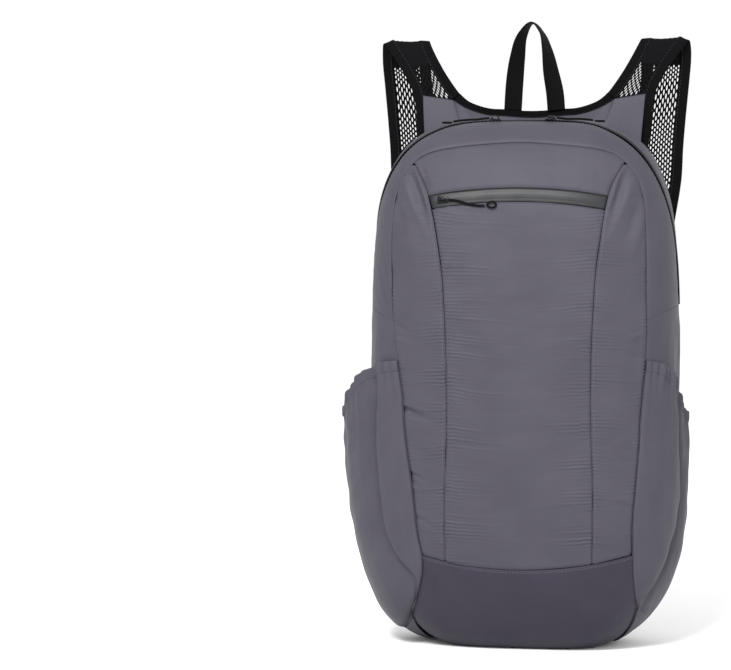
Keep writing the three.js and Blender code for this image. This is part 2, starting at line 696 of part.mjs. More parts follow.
// Binding along the inner edge of a strap, from the yoke over the fold and down
function innerBinding(side) {
  const line = innerLine(side);
  return sided((u, v) => {
    const t = lerp(NECK_SHARE, 1, strapPlace(v));
    const point = beside(line, t, sideways(side), BINDING_WIDTH * u);
    point.x *= side;
    return point;
  }, side);
}

function outerBinding(side) {
  const line = outerLine(side);
  const tail = TAIL_ROWS / (TAIL_ROWS + NET_ROWS);
  return sided((u, v) => {
    const t = v < tail ? TAIL_SHARE * v / tail : lerp(TAIL_SHARE, 1, strapPlace((v - tail) / (1 - tail)));
    const point = beside(line, t, sideways(-side), BINDING_WIDTH * (1 - u));
    point.x *= side;
    return point;
  }, side);
}

// Net between the two bindings
function strapNet(side) {
  const inner = innerLine(side);
  const outer = outerLine(side);
  const inset = BINDING_WIDTH + 3 * SEAM_GAP;
  return sided((u, v) => {
    const start = beside(inner, lerp(NECK_SHARE, 1, strapPlace(v)), sideways(side), inset);
    const end = beside(outer, lerp(TAIL_SHARE, 1, strapPlace(v)), sideways(-side), inset);
    const point = start.lerp(end, u);
    point.x *= side;
    return point;
  }, side);
}

// Binding along the neckline, between the straps
const down = new THREE.Vector3(0, 0, -1);
function neckBinding(u, v) {
  const side = 2 * u - 1;
  const line = innerLine(Math.sign(side) || 1);
  const width = lerp(NECK_BAND, BINDING_WIDTH, side ** 8);
  const t = Math.min(Math.abs(side), 1) * (NECK_SHARE - NECK_GAP);
  return beside(line, t, down, width * (1 - v));
}

// Yoke: the cloth from the back seam up to the neckline and to the foot of each strap's net
function yoke(u, v) {
  const side = 2 * u - 1;
  const hand = Math.sign(side) || 1;
  const reach = Math.min(Math.abs(side), 1);
  const inner = innerLine(hand);
  const foot = lifted(side * rad(YOKE_END_TURN), rad(BACK_SEAM_TILT), SEAM_GAP);
  let top;
  if (reach < YOKE_NECK_SHARE) {
    const t = reach / YOKE_NECK_SHARE * NECK_SHARE;
    const width = lerp(NECK_BAND, BINDING_WIDTH, (reach / YOKE_NECK_SHARE) ** 8);
    top = beside(inner, t, down, width + SEAM_GAP);
  } else {
    const inset = BINDING_WIDTH + SEAM_GAP;
    const start = beside(inner, NECK_SHARE, sideways(hand), inset);
    const end = beside(outerLine(hand), TAIL_SHARE, sideways(-hand), inset);
    top = start.lerp(end, (reach - YOKE_NECK_SHARE) / (1 - YOKE_NECK_SHARE));
    top.z -= 3 * SEAM_GAP;
  }
  return foot.lerp(top, v);
}

// Haul loop: one length of webbing, twisted as it turns over
const loopLine = new THREE.CatmullRomCurve3(HAUL_LOOP.map((row) => new THREE.Vector3(
  row.reach * LOOP_SPREAD,
  NECK_SETBACK,
  NECKLINE[2].rise * NECK_HEIGHT + HALF_GAP + row.rise * LOOP_RISE,
)));
function haulLoop(u, v) {
  const place = clamp(v, 0, 1) * (HAUL_LOOP.length - 1);
  const row = Math.min(Math.floor(place), HAUL_LOOP.length - 2);
  const twist = rad(lerp(HAUL_LOOP[row].twist, HAUL_LOOP[row + 1].twist, place - row));
  const across = new THREE.Vector3(Math.cos(twist), Math.sin(twist), 0);
  return beside(loopLine, v, across, LOOP_WEBBING * (u - 0.5));
}

// A flat piece with its edges eased, laid on the skin at a place
function eased(length, width, height) {
  const corner = Math.min(length, width) / 3;
  const shape = new THREE.Shape();
  shape.moveTo(corner - length / 2, -width / 2);
  shape.lineTo(length / 2 - corner, -width / 2);
  shape.lineTo(length / 2, corner - width / 2);
  shape.lineTo(length / 2, width / 2 - corner);
  shape.lineTo(length / 2 - corner, width / 2);
  shape.lineTo(corner - length / 2, width / 2);
  shape.lineTo(-length / 2, width / 2 - corner);
  shape.lineTo(-length / 2, corner - width / 2);
  shape.closePath();
  return new THREE.ExtrudeGeometry(shape, { depth: height, bevelEnabled: false });
}

// Turns a piece that lies in its own XY plane to lie on a surface
function lay(mesh, point, along, normal) {
  const side = normal.clone().cross(along).normalize();
  const ahead = side.clone().cross(normal).normalize();
  mesh.quaternion.setFromRotationMatrix(new THREE.Matrix4().makeBasis(ahead, side, normal));
  mesh.position.copy(point);
}

function addZipSlider(side) {
  const turn = side * Math.atan(SLIDER_OFFSET / (BODY_HEIGHT - WIDEST_HEIGHT));
  const tilt = zipTilt(turn);
  const foot = lifted(turn, tilt, ZIP_THICK / 2 + SEAM_GAP);
  const normal = lifted(turn, tilt, 1).sub(skin(turn, tilt));
  const along = skin(turn + 0.01, tilt).sub(skin(turn - 0.01, tilt));
  const mesh = add(`zip_slider_${side < 0 ? 'left' : 'right'}`, closed(eased(SLIDER_LENGTH, SLIDER_WIDTH,
    SLIDER_HEIGHT)), 'sliderMetal');
  lay(mesh, foot, along, normal);
}

function addPocketSlider() {
  const height = bandTop(POCKET_SLIDER_PLACE) - BAND_WIDTH / 2;
  const at = frontFace(POCKET_SLIDER_PLACE, height);
  const along = frontFace(POCKET_SLIDER_PLACE + 1, height).sub(frontFace(POCKET_SLIDER_PLACE - 1, height));
  const up = frontFace(POCKET_SLIDER_PLACE, height + 1).sub(frontFace(POCKET_SLIDER_PLACE, height - 1));
  const normal = along.clone().cross(up).normalize();
  const mesh = add('pocket_slider', closed(eased(SLIDER_LENGTH, SLIDER_WIDTH, SLIDER_HEIGHT)),
    'sliderMetal');
  lay(mesh, at.addScaledVector(normal, SEAM_GAP), along, normal);
}

// A pull: a cord along its route and a small loop at its end
function addPull(name, route) {
  const points = route.map((point) => new THREE.Vector3(...point));
  const line = new THREE.CatmullRomCurve3(points);
  const section = new THREE.Shape();
  section.absarc(0, 0, CORD / 2, 0, 2 * Math.PI);
  const steps = Math.round(line.getLength() / (2 * CORD));
  const tube = new THREE.ExtrudeGeometry(section, {
    extrudePath: line,
    steps,
    curveSegments: CORD_SIDES / 2,
    bevelEnabled: false,
  });
  add(`${name}_cord`, closed(tube), 'pullCord');
  const ring = new THREE.TorusGeometry(LOOP_RADIUS, CORD / 2, 6, 10);
  ring.scale(LOOP_STRETCH, 1, 1);
  const mesh = add(`${name}_loop`, closed(ring), 'pullCord');
  const along = line.getTangent(1);
  const reach = LOOP_STRETCH * (LOOP_RADIUS + CORD / 2) + SEAM_GAP;
  return { mesh, along, centre: line.getPoint(1).addScaledVector(along, reach) };
}

// Plain adjuster plate at a strap's lower end, and the webbing from it to the side seam
function addStrapEnd(side, name) {
  const inner = innerLine(side).getPoint(1);
  const outer = outerLine(side).getPoint(1);
  const middle = inner.clone().lerp(outer, 0.5);
  const along = innerLine(side).getTangent(1).lerp(outerLine(side).getTangent(1), 0.5).normalize();
  const across = outer.clone().sub(inner).multiplyScalar(side).normalize();
  const normal = along.clone().cross(across).normalize();
  const plate = closed(eased(ADJUSTER_LENGTH, ADJUSTER_WIDTH, ADJUSTER_THICK));
  const adjuster = add(`strap_adjuster_${name}`, plate, 'bucklePlastic');
  const reach = ADJUSTER_LENGTH / 2 + SEAM_GAP;
  const seat = middle.clone().addScaledVector(along, reach);
  lay(adjuster, seat.addScaledVector(normal, -ADJUSTER_THICK / 2), along, normal);

  const start = middle.clone().addScaledVector(along, ADJUSTER_LENGTH + 2 * SEAM_GAP);
  const lead = start.clone().addScaledVector(along, WEBBING_WIDTH / 2);
  const anchor = lifted(side * rad(ANCHOR_TURN), rad(ANCHOR_TILT), ANCHOR_LIFT);
  const knee = lead.clone().lerp(anchor, 0.6);
  knee.y = lerp(start.y, anchor.y, 0.25);
  const line = new THREE.CatmullRomCurve3([start, lead, knee, anchor]);
  const webbing = (u, v) => beside(line, v, sideways(1), WEBBING_WIDTH * (0.5 - u));
  add(`lower_webbing_${name}`, shell(1, 10, webbing, WEBBING_THICK), 'blackWebbing');
}

add('upper_front_panel', shell(12, 4, upperFrontPanel), 'greyNylon');
add('pocket_zip', shell(12, 1, pocketZip), 'zipLaminate');
add('front_panel', shell(10, 2 * PUCKER_WAVES, frontPanel), 'greyNylon');
add('bottom_panel', shell(16, 10, bottomPanel), 'lowerNylon');
add('gusset_front', shell(36, 2, topStrip(foreOfSeam, foreEdge, 0)), 'greyNylon');
add('main_zip', shell(36, 1, topStrip(foreOfZip, aftOfZip, ZIP_THICK / 2), ZIP_THICK), 'zipCoil');
add('gusset_rear', shell(36, 3, topStrip(aftEdge, backSeam, 0)), 'greyNylon');
add('back_panel', shell(12, 12, backPanel), 'greyNylon');
add('neck_binding', shell(24, 1, neckBinding, BINDING_THICK), 'blackBinding');
add('yoke', shell(20, 2, yoke), 'greyNylon');
add('haul_loop', shell(1, 24, haulLoop, LOOP_THICK), 'blackWebbing');

for (const side of [-1, 1]) {
  const name = side < 0 ? 'left' : 'right';
  const bulge = side < 0 ? LEFT_BULGE : RIGHT_BULGE;
  add(`front_side_panel_${name}`, shell(3, 2 * PUCKER_WAVES, frontSidePanel(side)), 'greyNylon');
  add(`side_panel_${name}`, shell(16, 6, sided(sidePanel, side)), 'greyNylon');
  add(`side_pocket_${name}`, shell(12, 12, sidePocket(bulge, side)), 'greyNylon');
  add(`pocket_hem_${name}`, shell(1, 12, pocketHem(bulge, side), HEM_THICK), 'greyNylon');
  add(`strap_inner_binding_${name}`, shell(1, NET_ROWS, innerBinding(side), BINDING_THICK), 'blackBinding');
  add(`strap_outer_binding_${name}`, shell(1, TAIL_ROWS + NET_ROWS, outerBinding(side), BINDING_THICK), 'blackBinding');
  add(`strap_net_${name}`, net(NET_COLUMNS, NET_ROWS, strapNet(side), STRAP_THICK), 'blackMesh');
  addZipSlider(side);
  addStrapEnd(side, name);
}

addPocketSlider();

// The origin is the middle of the bag's box, on the level that it stands on
const box = new THREE.Box3();
bag.updateMatrixWorld(true);
for (const mesh of bag.children) {
  box.union(new THREE.Box3().setFromObject(mesh, true));
}

for (const [name, route] of [['left_pull', LEFT_PULL], ['right_pull', RIGHT_PULL], ['pocket_pull', POCKET_PULL]]) {
  const { mesh, along, centre } = addPull(name, route);
  const normal = name === 'pocket_pull' ? new THREE.Vector3(0, -4, 1).normalize() : new THREE.Vector3(0, 0, 1);
  lay(mesh, centre, along, normal);
}

const middle = box.getCenter(new THREE.Vector3());
bag.position.set(-middle.x, -middle.y, -box.min.z);

export default bag;
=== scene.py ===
"""The looks of a packable daypack: sewn nylon panels, net shoulder straps, zips, pulls and thread."""

import math

import bmesh
import bpy
import numpy as np
from mathutils import Matrix, Vector


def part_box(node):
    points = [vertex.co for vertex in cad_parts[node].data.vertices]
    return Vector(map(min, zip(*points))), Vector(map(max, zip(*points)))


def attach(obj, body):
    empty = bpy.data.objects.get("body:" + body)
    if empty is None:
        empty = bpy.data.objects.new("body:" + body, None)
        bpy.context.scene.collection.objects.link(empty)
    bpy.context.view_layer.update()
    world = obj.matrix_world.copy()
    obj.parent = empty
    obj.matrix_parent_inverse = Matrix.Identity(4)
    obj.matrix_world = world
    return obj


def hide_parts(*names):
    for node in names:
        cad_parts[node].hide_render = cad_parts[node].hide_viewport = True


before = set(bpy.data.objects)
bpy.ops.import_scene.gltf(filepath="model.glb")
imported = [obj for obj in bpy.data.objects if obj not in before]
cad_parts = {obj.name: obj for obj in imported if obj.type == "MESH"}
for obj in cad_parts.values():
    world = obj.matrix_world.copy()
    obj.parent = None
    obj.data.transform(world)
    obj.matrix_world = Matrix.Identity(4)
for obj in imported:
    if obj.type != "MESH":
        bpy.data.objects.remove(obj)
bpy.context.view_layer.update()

# Sizes of the bag in millimetres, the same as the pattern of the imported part
BODY_HALF_WIDTH = 126
BODY_HEIGHT = 434
WIDEST_HEIGHT = 215
BELLY_DEPTH = 86
BACK_DEPTH = 56
BASE_PRESS = 7
BASE_BLEND = 3
TOP_SQUARENESS = 4.2
BASE_SQUARENESS = 3.4
FRONT_FULLNESS = 3
BACK_FULLNESS = 4
CLOTH = 0.8
SEAM_GAP = 0.12
HALF_GAP = SEAM_GAP / 2

BOTTOM_SEAM_HEIGHT = 69.5
BAND_TOP = 377.7
BAND_DROP = 6.7
BAND_WIDTH = 11.3

ZIP_WIDTH = 3
ZIP_THICK = 1.6
SLIDER_LENGTH = 9
SLIDER_WIDTH = 6
SLIDER_HEIGHT = 3
SLIDER_OFFSET = 23
SLIDER_LIFT = 0.6
POCKET_SLIDER_PLACE = -59
CORD = 1.8
LOOP_RADIUS = 2.4
LOOP_STRETCH = 1.5
LOOP_GAP = 0.6

PLEAT_PLACE = 0.3
HEM_THICK = 2.2
HEM_DOWN = (-0.045, 0.02)

STRAP_REACH = 132
STRAP_TOP = 505
STRAP_SETBACK = 74
NET_THICK = 1.1
BINDING_WIDTH = 9
BINDING_THICK = 2.6
TAIL_ROWS = 3
STRAP_ROWS = 20
NECK_HEIGHT = 444
NECK_SETBACK = 54
NECK_BAND = 7
YOKE_END_TURN = 26
YOKE_NECK_SHARE = 0.6
LOOP_WEBBING = 15
LOOP_THICK = 1.6
LOOP_RISE = 73
LOOP_SPREAD = 18.3
LOOP_FOOT = 0.3

WEBBING_WIDTH = 20
WEBBING_THICK = 1.6
ADJUSTER_WIDTH = 30
ADJUSTER_LENGTH = 18
ADJUSTER_THICK = 4
END_GAP = 0.6
ANCHOR_TURN = 147
ANCHOR_TILT = -45
ANCHOR_LIFT = 3

ZIP_END_TURN = 62
BACK_SEAM_TILT = -37
CORNER_TURN = 25.1
SEAM_ROUNDING = 4
# Where the bottom seam ends and where the side panel's front corner stands, left and right
BOTTOM_SEAM_TURN = {-1: 150.75, 1: 144.75}
FOOT_CORNER = {-1: (155.1, 26), 1: (151.6, 27)}

# Seams and the zip round the body: turn from straight up and tilt to the front, in degrees
SEAM_OVER_TOP = [(0, 34), (15, 35.5), (25, 34.3), (33, 36), (38, 39)]
FRONT_SEAM = {
    -1: SEAM_OVER_TOP + [
        (47, 42.2), (56, 43.6), (66, 46), (80, 47.6), (94, 49.2), (105, 49.7), (114, 50.3),
        (122, 51.1), (129, 51.7), (135, 51.8), (140, 51.4), (144, 50.6), (147.2, 49.8),
        (150.75, 48.5), (153.25, 45.5), (154.25, 41), (154.7, 34), FOOT_CORNER[-1],
    ],
    1: SEAM_OVER_TOP + [
        (47, 41.4), (56, 42.1), (66, 42.4), (80, 42.8), (94, 44.1), (105, 45), (114, 45.3),
        (122, 45.7), (129, 46), (135, 45.7), (140, 44.6), (144.75, 41.8), (147.5, 39.2),
        (149.5, 35.5), (151, 31), FOOT_CORNER[1],
    ],
}
MAIN_ZIP = [
    (0, 15), (10, 15.5), (15, 18), (20, 22), (26, 23.5), (32, 22), (38, 17), (46, 6), (54, -6),
    (ZIP_END_TURN, -16),
]
SIDE_FOOT = {
    -1: [(-37, 158), (-15, 160.5), (0, 161), (15, 158.7), FOOT_CORNER[-1][::-1]],
    1: [(-37, 158), (-15, 160.5), (0, 161), (15, 157.5), FOOT_CORNER[1][::-1]],
}

# Puckered seams: height as a share of the body's height, reach and lean of its half width
PUCKER_SEAM = [
    (0.14, 0.47, 0.022), (0.24, 0.473, 0.024), (0.31, 0.472, 0.026), (0.45, 0.46, 0.026),
    (0.55, 0.463, 0.025), (0.634, 0.474, 0.024), (0.714, 0.493, 0.022), (0.776, 0.524, 0.018),
    (0.829, 0.556, 0.012), (0.88, 0.608, 0.004), (0.918, 0.682, 0),
]

# Creases in the front: from across, up to across, up, then breadth and depth, as shares of the
# half width, the height, the half width and the belly's depth
CREASES = [
    (-0.72, 0.885, -0.6, 0.8, 0.05, 0.03), (-0.66, 0.9, -0.58, 0.83, 0.04, 0.025),
    (0.74, 0.885, 0.62, 0.8, 0.05, 0.03), (0.66, 0.9, 0.6, 0.83, 0.04, 0.025),
    (-0.78, 0.47, -0.55, 0.445, 0.05, 0.025), (-0.74, 0.33, -0.6, 0.3, 0.05, 0.02),
    (0.8, 0.36, 0.62, 0.4, 0.05, 0.02),
]

# Side pocket: across from the front seam, and the mouth's turn
POCKET_MOUTH = [
    (0, 80), (0.12, 83.5), (0.22, 88), (0.3, 93), (0.4, 99), (0.5, 101.5), (0.62, 102.5),
    (0.8, 102), (1, 101),
]
# How far the pocket stands off the body at the left and right, with a sharper valley at the pleat
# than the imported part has
POCKET_SWELL = [
    (0, 0.9, 0.9), (0.08, 3.8, 3.2), (0.17, 6.4, 5.4), (0.24, 6.9, 6.0), (0.275, 5.0, 4.6),
    (PLEAT_PLACE, 0.2, 0.2), (0.316, 4.8, 3.8), (0.34, 9.2, 6.0), (0.4, 15.2, 8.4), (0.5, 21, 9.4),
    (0.62, 24, 9.8), (0.8, 18, 8.0), (0.93, 7, 4.0), (1, 0.9, 0.9),
]
# Down from the mouth: the share of that swell at the left and right
POCKET_DOWN = [
    (0, 1, 0.62), (0.12, 1, 0.9), (0.3, 0.98, 1), (0.6, 0.9, 1), (0.75, 0.82, 0.8),
    (0.86, 0.68, 0.5), (0.95, 0.4, 0.25), (1, 0.1, 0.1),
]
# Down from the mouth: how far across the pleat runs at the left and right
POCKET_PLEAT = [
    (0, 0.13, 0.3), (0.2, 0.145, 0.33), (0.4, 0.16, 0.42), (0.6, 0.17, 0.36), (0.7, 0.165, 0.31),
    (0.8, 0.14, 0.24), (0.9, 0.085, 0.14), (1, 0.02, 0.02),
]

# Shoulder strap: inner reach and rise, outer reach and rise, setback, as shares of the named sizes
STRAP = [
    (0.477, 0.909, 0.776, 0.903, 0.743), (0.56, 0.939, 0.81, 0.927, 0.757),
    (0.629, 0.97, 0.864, 0.952, 0.784), (0.667, 0.99, 0.932, 0.978, 0.824),
    (0.686, 1, 0.989, 0.997, 0.892), (0.69, 0.99, 1, 0.985, 0.96), (0.69, 0.965, 1, 0.96, 0.986),
    (0.678, 0.93, 0.99, 0.93, 1), (0.65, 0.865, 0.967, 0.865, 1), (0.633, 0.818, 0.953, 0.818, 1),
    (0.617, 0.762, 0.942, 0.762, 0.99), (0.576, 0.68, 0.894, 0.68, 0.96),
    (0.53, 0.56, 0.833, 0.56, 0.95), (0.5, 0.44, 0.78, 0.44, 0.94), (0.5, 0.34, 0.742, 0.34, 0.93),
]
# Where the outer binding starts on the bag, in the same shares: reach, rise and setback
OUTER_TAIL = [(0.705, 0.75, 0.64), (0.745, 0.83, 0.69)]
# The neckline from its middle: reach and rise, as shares of the strap's reach and the neck's height
NECKLINE = [(0, 1), (0.07, 1.0007), (0.185, 1.0036), (0.28, 1.0054), (0.376, 1.0135), (0.43, 1.0215)]
# Haul loop: reach, rise and the webbing's twist in degrees. Its feet go into the neckline's tape.
HAUL_LOOP = [
    (-0.95, -0.022, 0), (-0.86, 0.3, 15), (-0.72, 0.58, 38), (-0.5, 0.83, 62), (-0.05, 0.98, 88),
    (0.36, 0.87, 82), (0.6, 0.68, 62), (0.8, 0.42, 35), (1, 0.18, 12), (1.08, -0.022, 0),
]

# Routes of the three pull cords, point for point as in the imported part
LEFT_PULL = [
    (-27.9, -23.2, 435.0), (-30.0, -23.0, 434.9), (-32.1, -22.5, 434.8), (-34.2, -21.7, 434.6),
    (-36.3, -20.7, 434.4), (-38.4, -19.6, 434.2), (-40.5, -18.4, 434.2), (-42.6, -17.2, 434.2),
    (-44.7, -16.0, 434.2), (-46.8, -14.9, 434.1), (-48.9, -13.9, 434.0), (-51.0, -13.0, 433.9),
    (-53.1, -12.2, 433.7), (-55.2, -11.6, 433.5), (-57.2, -11.2, 433.2), (-59.2, -11.0, 432.9),
]
RIGHT_PULL = [
    (27.9, -23.2, 435.0), (29.9, -22.7, 434.9), (31.8, -21.8, 434.7), (33.6, -20.6, 434.4),
    (35.3, -19.2, 434.3), (37.0, -17.7, 434.3), (38.7, -16.1, 434.4), (40.4, -14.6, 434.4),
    (42.2, -13.1, 434.5), (44.0, -11.8, 434.5), (45.9, -10.6, 434.4), (47.9, -9.6, 434.3),
    (49.9, -8.8, 434.2), (51.9, -8.2, 434.0), (53.9, -7.8, 433.8), (56.0, -7.6, 433.5),
]
POCKET_PULL = [
    (-54.2, -75.4, 367.7), (-52.2, -75.3, 367.7), (-50.2, -75.4, 367.5), (-48.3, -75.6, 367.2),
    (-46.4, -75.8, 366.8), (-44.5, -76.1, 366.3), (-42.6, -76.4, 365.7), (-40.7, -76.6, 365.1),
    (-38.8, -76.8, 364.5), (-36.9, -77.0, 364.0), (-34.9, -77.2, 363.6), (-32.8, -77.4, 363.3),
    (-30.8, -77.6, 363.1), (-28.8, -77.7, 363.0), (-26.8, -77.8, 363.0), (-24.8, -77.8, 363.2),
]

# The pattern is drawn about the body's own middle, and the part stands at the middle of its box
SHIFT = np.array([
    sum(corner.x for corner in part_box("main_zip")) * 500,
    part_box("back_panel")[1].y * 1000 - BACK_DEPTH,
    0,
])


def placed(points):
    """Pattern millimetres to metres in the part's frame."""
    return (np.asarray(points, float) + SHIFT) / 1000


# Camera: a long lens, a little above the bag's middle and to its right, aimed past its left side
FRAME_WIDTH = 731
SENSOR_WIDTH = 36
CAMERA_DISTANCE = 2.2
CAMERA_AIM = (-135.07, 0, 254.98)
CAMERA_TURN, CAMERA_RISE = 9.8, 2.5
MM_PER_PIXEL = 0.84


def add_camera():
    data = bpy.data.cameras.new("camera")
    data.sensor_fit = "HORIZONTAL"
    data.sensor_width = SENSOR_WIDTH
    focal = CAMERA_DISTANCE * 1000 / MM_PER_PIXEL
    data.lens = focal * SENSOR_WIDTH / FRAME_WIDTH
    camera = bpy.data.objects.new("camera", data)
    bpy.context.scene.collection.objects.link(camera)
    turn, rise = math.radians(CAMERA_TURN), math.radians(CAMERA_RISE)
    back = Vector((math.sin(turn) * math.cos(rise), -math.cos(turn) * math.cos(rise), math.sin(rise)))
    camera.location = Vector(placed(CAMERA_AIM)) + back * CAMERA_DISTANCE
    camera.rotation_euler = back.to_track_quat("Z", "Y").to_euler()
    bpy.context.scene.camera = camera


def linear(code):
    """An sRGB hex colour as the linear colour that shaders take."""
    parts = [int(code[i:i + 2], 16) / 255 for i in (1, 3, 5)]
    return [c / 12.92 if c <= 0.04045 else ((c + 0.055) / 1.055) ** 2.4 for c in parts] + [1]


def add(tree, kind, settings=None, links=None):
    """Adds a node, sets its properties and sockets, and links its inputs to other sockets."""
    made = tree.nodes.new(kind)
    for name, value in (settings or {}).items():
        if isinstance(name, str) and hasattr(made, name):
            setattr(made, name, value)
        else:
            made.inputs[name].default_value = value
    for name, source in (links or {}).items():
        tree.links.new(source, made.inputs[name])
    return made


def finish(name, settings):
    """A new material with a Principled shader, and its node tree."""
    material = bpy.data.materials.new(name)
    material.use_nodes = True
    tree = material.node_tree
    shader = tree.nodes["Principled BSDF"]
    for socket, value in settings.items():
        shader.inputs[socket].default_value = value
    return material, tree, shader


# Smooth pseudo-random fields, all seeded


def ripple(seed, a, b, size, count=9):
    """A smooth random field of about -1 to 1 over two coordinates, with features of a size."""
    rng = np.random.default_rng(seed)
    total = np.zeros(np.broadcast(a, b).shape)
    for angle, phase, pitch in zip(
        rng.uniform(0, math.pi, count), rng.uniform(0, 2 * math.pi, count), rng.uniform(0.7, 1.5, count)
    ):
        along = a * math.cos(angle) + b * math.sin(angle)
        total = total + np.sin(2 * math.pi * along / (size * pitch) + phase)
    return total / math.sqrt(count * 2)


def lerp(a, b, t):
    return a + (b - a) * t


def smooth(t):
    t = np.clip(t, 0, 1)
    return t * t * (3 - 2 * t)


def unit(vectors):
    return vectors / np.maximum(np.linalg.norm(vectors, axis=-1, keepdims=True), 1e-12)


def far_along(points):
    """The length run so far at each point of a line."""
    return np.concatenate([[0], np.cumsum(np.linalg.norm(np.diff(points, axis=0), axis=-1))])


def beside_line(x, z, start, end):
    """In the front view, the share along a straight line and the distance from it."""
    run = np.array(end, float) - start
    t = np.clip(((x - start[0]) * run[0] + (z - start[1]) * run[1]) / (run @ run), 0, 1)
    return t, np.hypot(x - start[0] - t * run[0], z - start[1] - t * run[1])


# The pattern's surface, worked on arrays of places


def read(rows, column, at):
    """A column of a table as a smooth curve through its rows. The first column is the key."""
    table = np.array(rows, float)
    keys, values = table[:, 0], table[:, column]
    at = np.clip(at, keys[0], keys[-1])
    row = np.clip(np.searchsorted(keys, at) - 1, 0, len(keys) - 2)
    slopes = np.empty(len(keys))
    slopes[1:-1] = (values[2:] - values[:-2]) / (keys[2:] - keys[:-2])
    slopes[0] = (values[1] - values[0]) / (keys[1] - keys[0])
    slopes[-1] = (values[-1] - values[-2]) / (keys[-1] - keys[-2])
    span = keys[row + 1] - keys[row]
    t = (at - keys[row]) / span
    lead = t * (1 - t) ** 2 * span * slopes[row]
    trail = t * t * (t - 1) * span * slopes[row + 1]
    return lerp(values[row], values[row + 1], t * t * (3 - 2 * t)) + lead + trail


def outline(turn):
    """The body's outline radius in the front view, from the widest level."""
    upper = np.cos(turn) > 0
    height = np.where(upper, BODY_HEIGHT - WIDEST_HEIGHT, WIDEST_HEIGHT + BASE_PRESS)
    power = np.where(upper, TOP_SQUARENESS, BASE_SQUARENESS)
    across = np.abs(np.sin(turn)) / BODY_HALF_WIDTH
    upright = np.abs(np.cos(turn)) / height
    return (across ** power + upright ** power) ** (-1 / power)


def press(height):
    """The round base, pressed flat where it stands."""
    lowest = np.clip(height, -BASE_BLEND, BASE_BLEND)
    return np.where(height > BASE_BLEND, height, (lowest + BASE_BLEND) ** 2 / (4 * BASE_BLEND))


def skin(turn, tilt):
    """The body's skin at a turn and a tilt in radians."""
    turn, tilt = np.broadcast_arrays(turn, tilt)
    front = tilt > 0
    fullness = np.where(front, FRONT_FULLNESS, BACK_FULLNESS)
    depth = np.where(front, -BELLY_DEPTH, BACK_DEPTH)
    out, swell = np.cos(tilt), np.abs(np.sin(tilt))
    scale = (out ** fullness + swell ** fullness) ** (-1 / fullness)
    radius = outline(turn) * out * scale
    height = WIDEST_HEIGHT + radius * np.cos(turn)
    return np.stack([radius * np.sin(turn), depth * swell * scale, press(height)], -1)


def lifted(turn, tilt, lift):
    step = 0.004
    along = skin(turn + step, tilt) - skin(turn - step, tilt)
    across = skin(turn, tilt - step) - skin(turn, tilt + step)
    lift = np.asarray(lift, float)[..., None]
    return skin(turn, tilt) + unit(np.cross(along, across)) * lift


def slip(turn, tilt):
    """How far a tilt moves for one millimetre along the skin."""
    step = 0.01
    run = skin(turn, tilt + step) - skin(turn, tilt - step)
    return 2 * step / np.linalg.norm(run, axis=-1)


def from_top(turn):
    """A turn in degrees from straight up, with the corner at the top rounded off."""
    return np.sqrt(np.degrees(turn) ** 2 + SEAM_ROUNDING ** 2)


def front_tilt(turn):
    """The front seam's tilt. The left side has negative turns, or turns past the half turn."""
    turn = (np.asarray(turn, float) + math.pi) % (2 * math.pi) - math.pi
    away = from_top(turn)
    return np.radians(np.where(turn < 0, read(FRONT_SEAM[-1], 1, away), read(FRONT_SEAM[1], 1, away)))


def zip_tilt(turn):
    return np.radians(read(MAIN_ZIP, 1, from_top(turn)))


def foot_turn(tilt, side):
    return np.radians(read(SIDE_FOOT[side], 1, np.degrees(tilt)))


def creased(x, z):
    """Depth of the pressed creases at a place in the front view."""
    depth = 0
    for across, up, across_end, up_end, breadth, deep in CREASES:
        start = (across * BODY_HALF_WIDTH, up * BODY_HEIGHT)
        t, away = beside_line(x, z, start, (across_end * BODY_HALF_WIDTH, up_end * BODY_HEIGHT))
        fade = np.sin(math.pi * np.clip(t, 0.15, 0.85))
        depth = depth + deep * BELLY_DEPTH * fade * np.exp(-((away / (breadth * BODY_HALF_WIDTH)) ** 2))
    return depth


def front_face(x, z):
    """A point of the front over a place in the front view."""
    rise = z - WIDEST_HEIGHT
    share = np.hypot(x, rise) / outline(np.arctan2(x, rise))
    swell = np.maximum(0, 1 - share ** FRONT_FULLNESS) ** (1 / FRONT_FULLNESS)
    edge = np.clip((0.9 - share) / 0.15, 0, 1)
    return np.stack(np.broadcast_arrays(x, creased(x, z) * edge - BELLY_DEPTH * swell, press(z)), -1)


def front_seam(turn, margin):
    point = skin(turn, front_tilt(turn))
    radius = np.hypot(point[..., 0], point[..., 2] - WIDEST_HEIGHT) - margin
    return radius * np.sin(turn), WIDEST_HEIGHT + radius * np.cos(turn)


def pucker_seam(height, side):
    share = height / BODY_HEIGHT
    return (side * read(PUCKER_SEAM, 1, share) + read(PUCKER_SEAM, 2, share)) * BODY_HALF_WIDTH


def bottom_seam(x):
    ends = [front_seam(side * math.radians(BOTTOM_SEAM_TURN[side]), 0) for side in (-1, 1)]
    end_x = np.where(x < 0, ends[0][0], ends[1][0])
    end_z = np.where(x < 0, ends[0][1], ends[1][1])
    return lerp(BOTTOM_SEAM_HEIGHT, end_z, (x / end_x) ** 2)


def band_top(x):
    end = pucker_seam(BAND_TOP - BAND_DROP, 1)
    return BAND_TOP - BAND_DROP * (x / end) ** 2


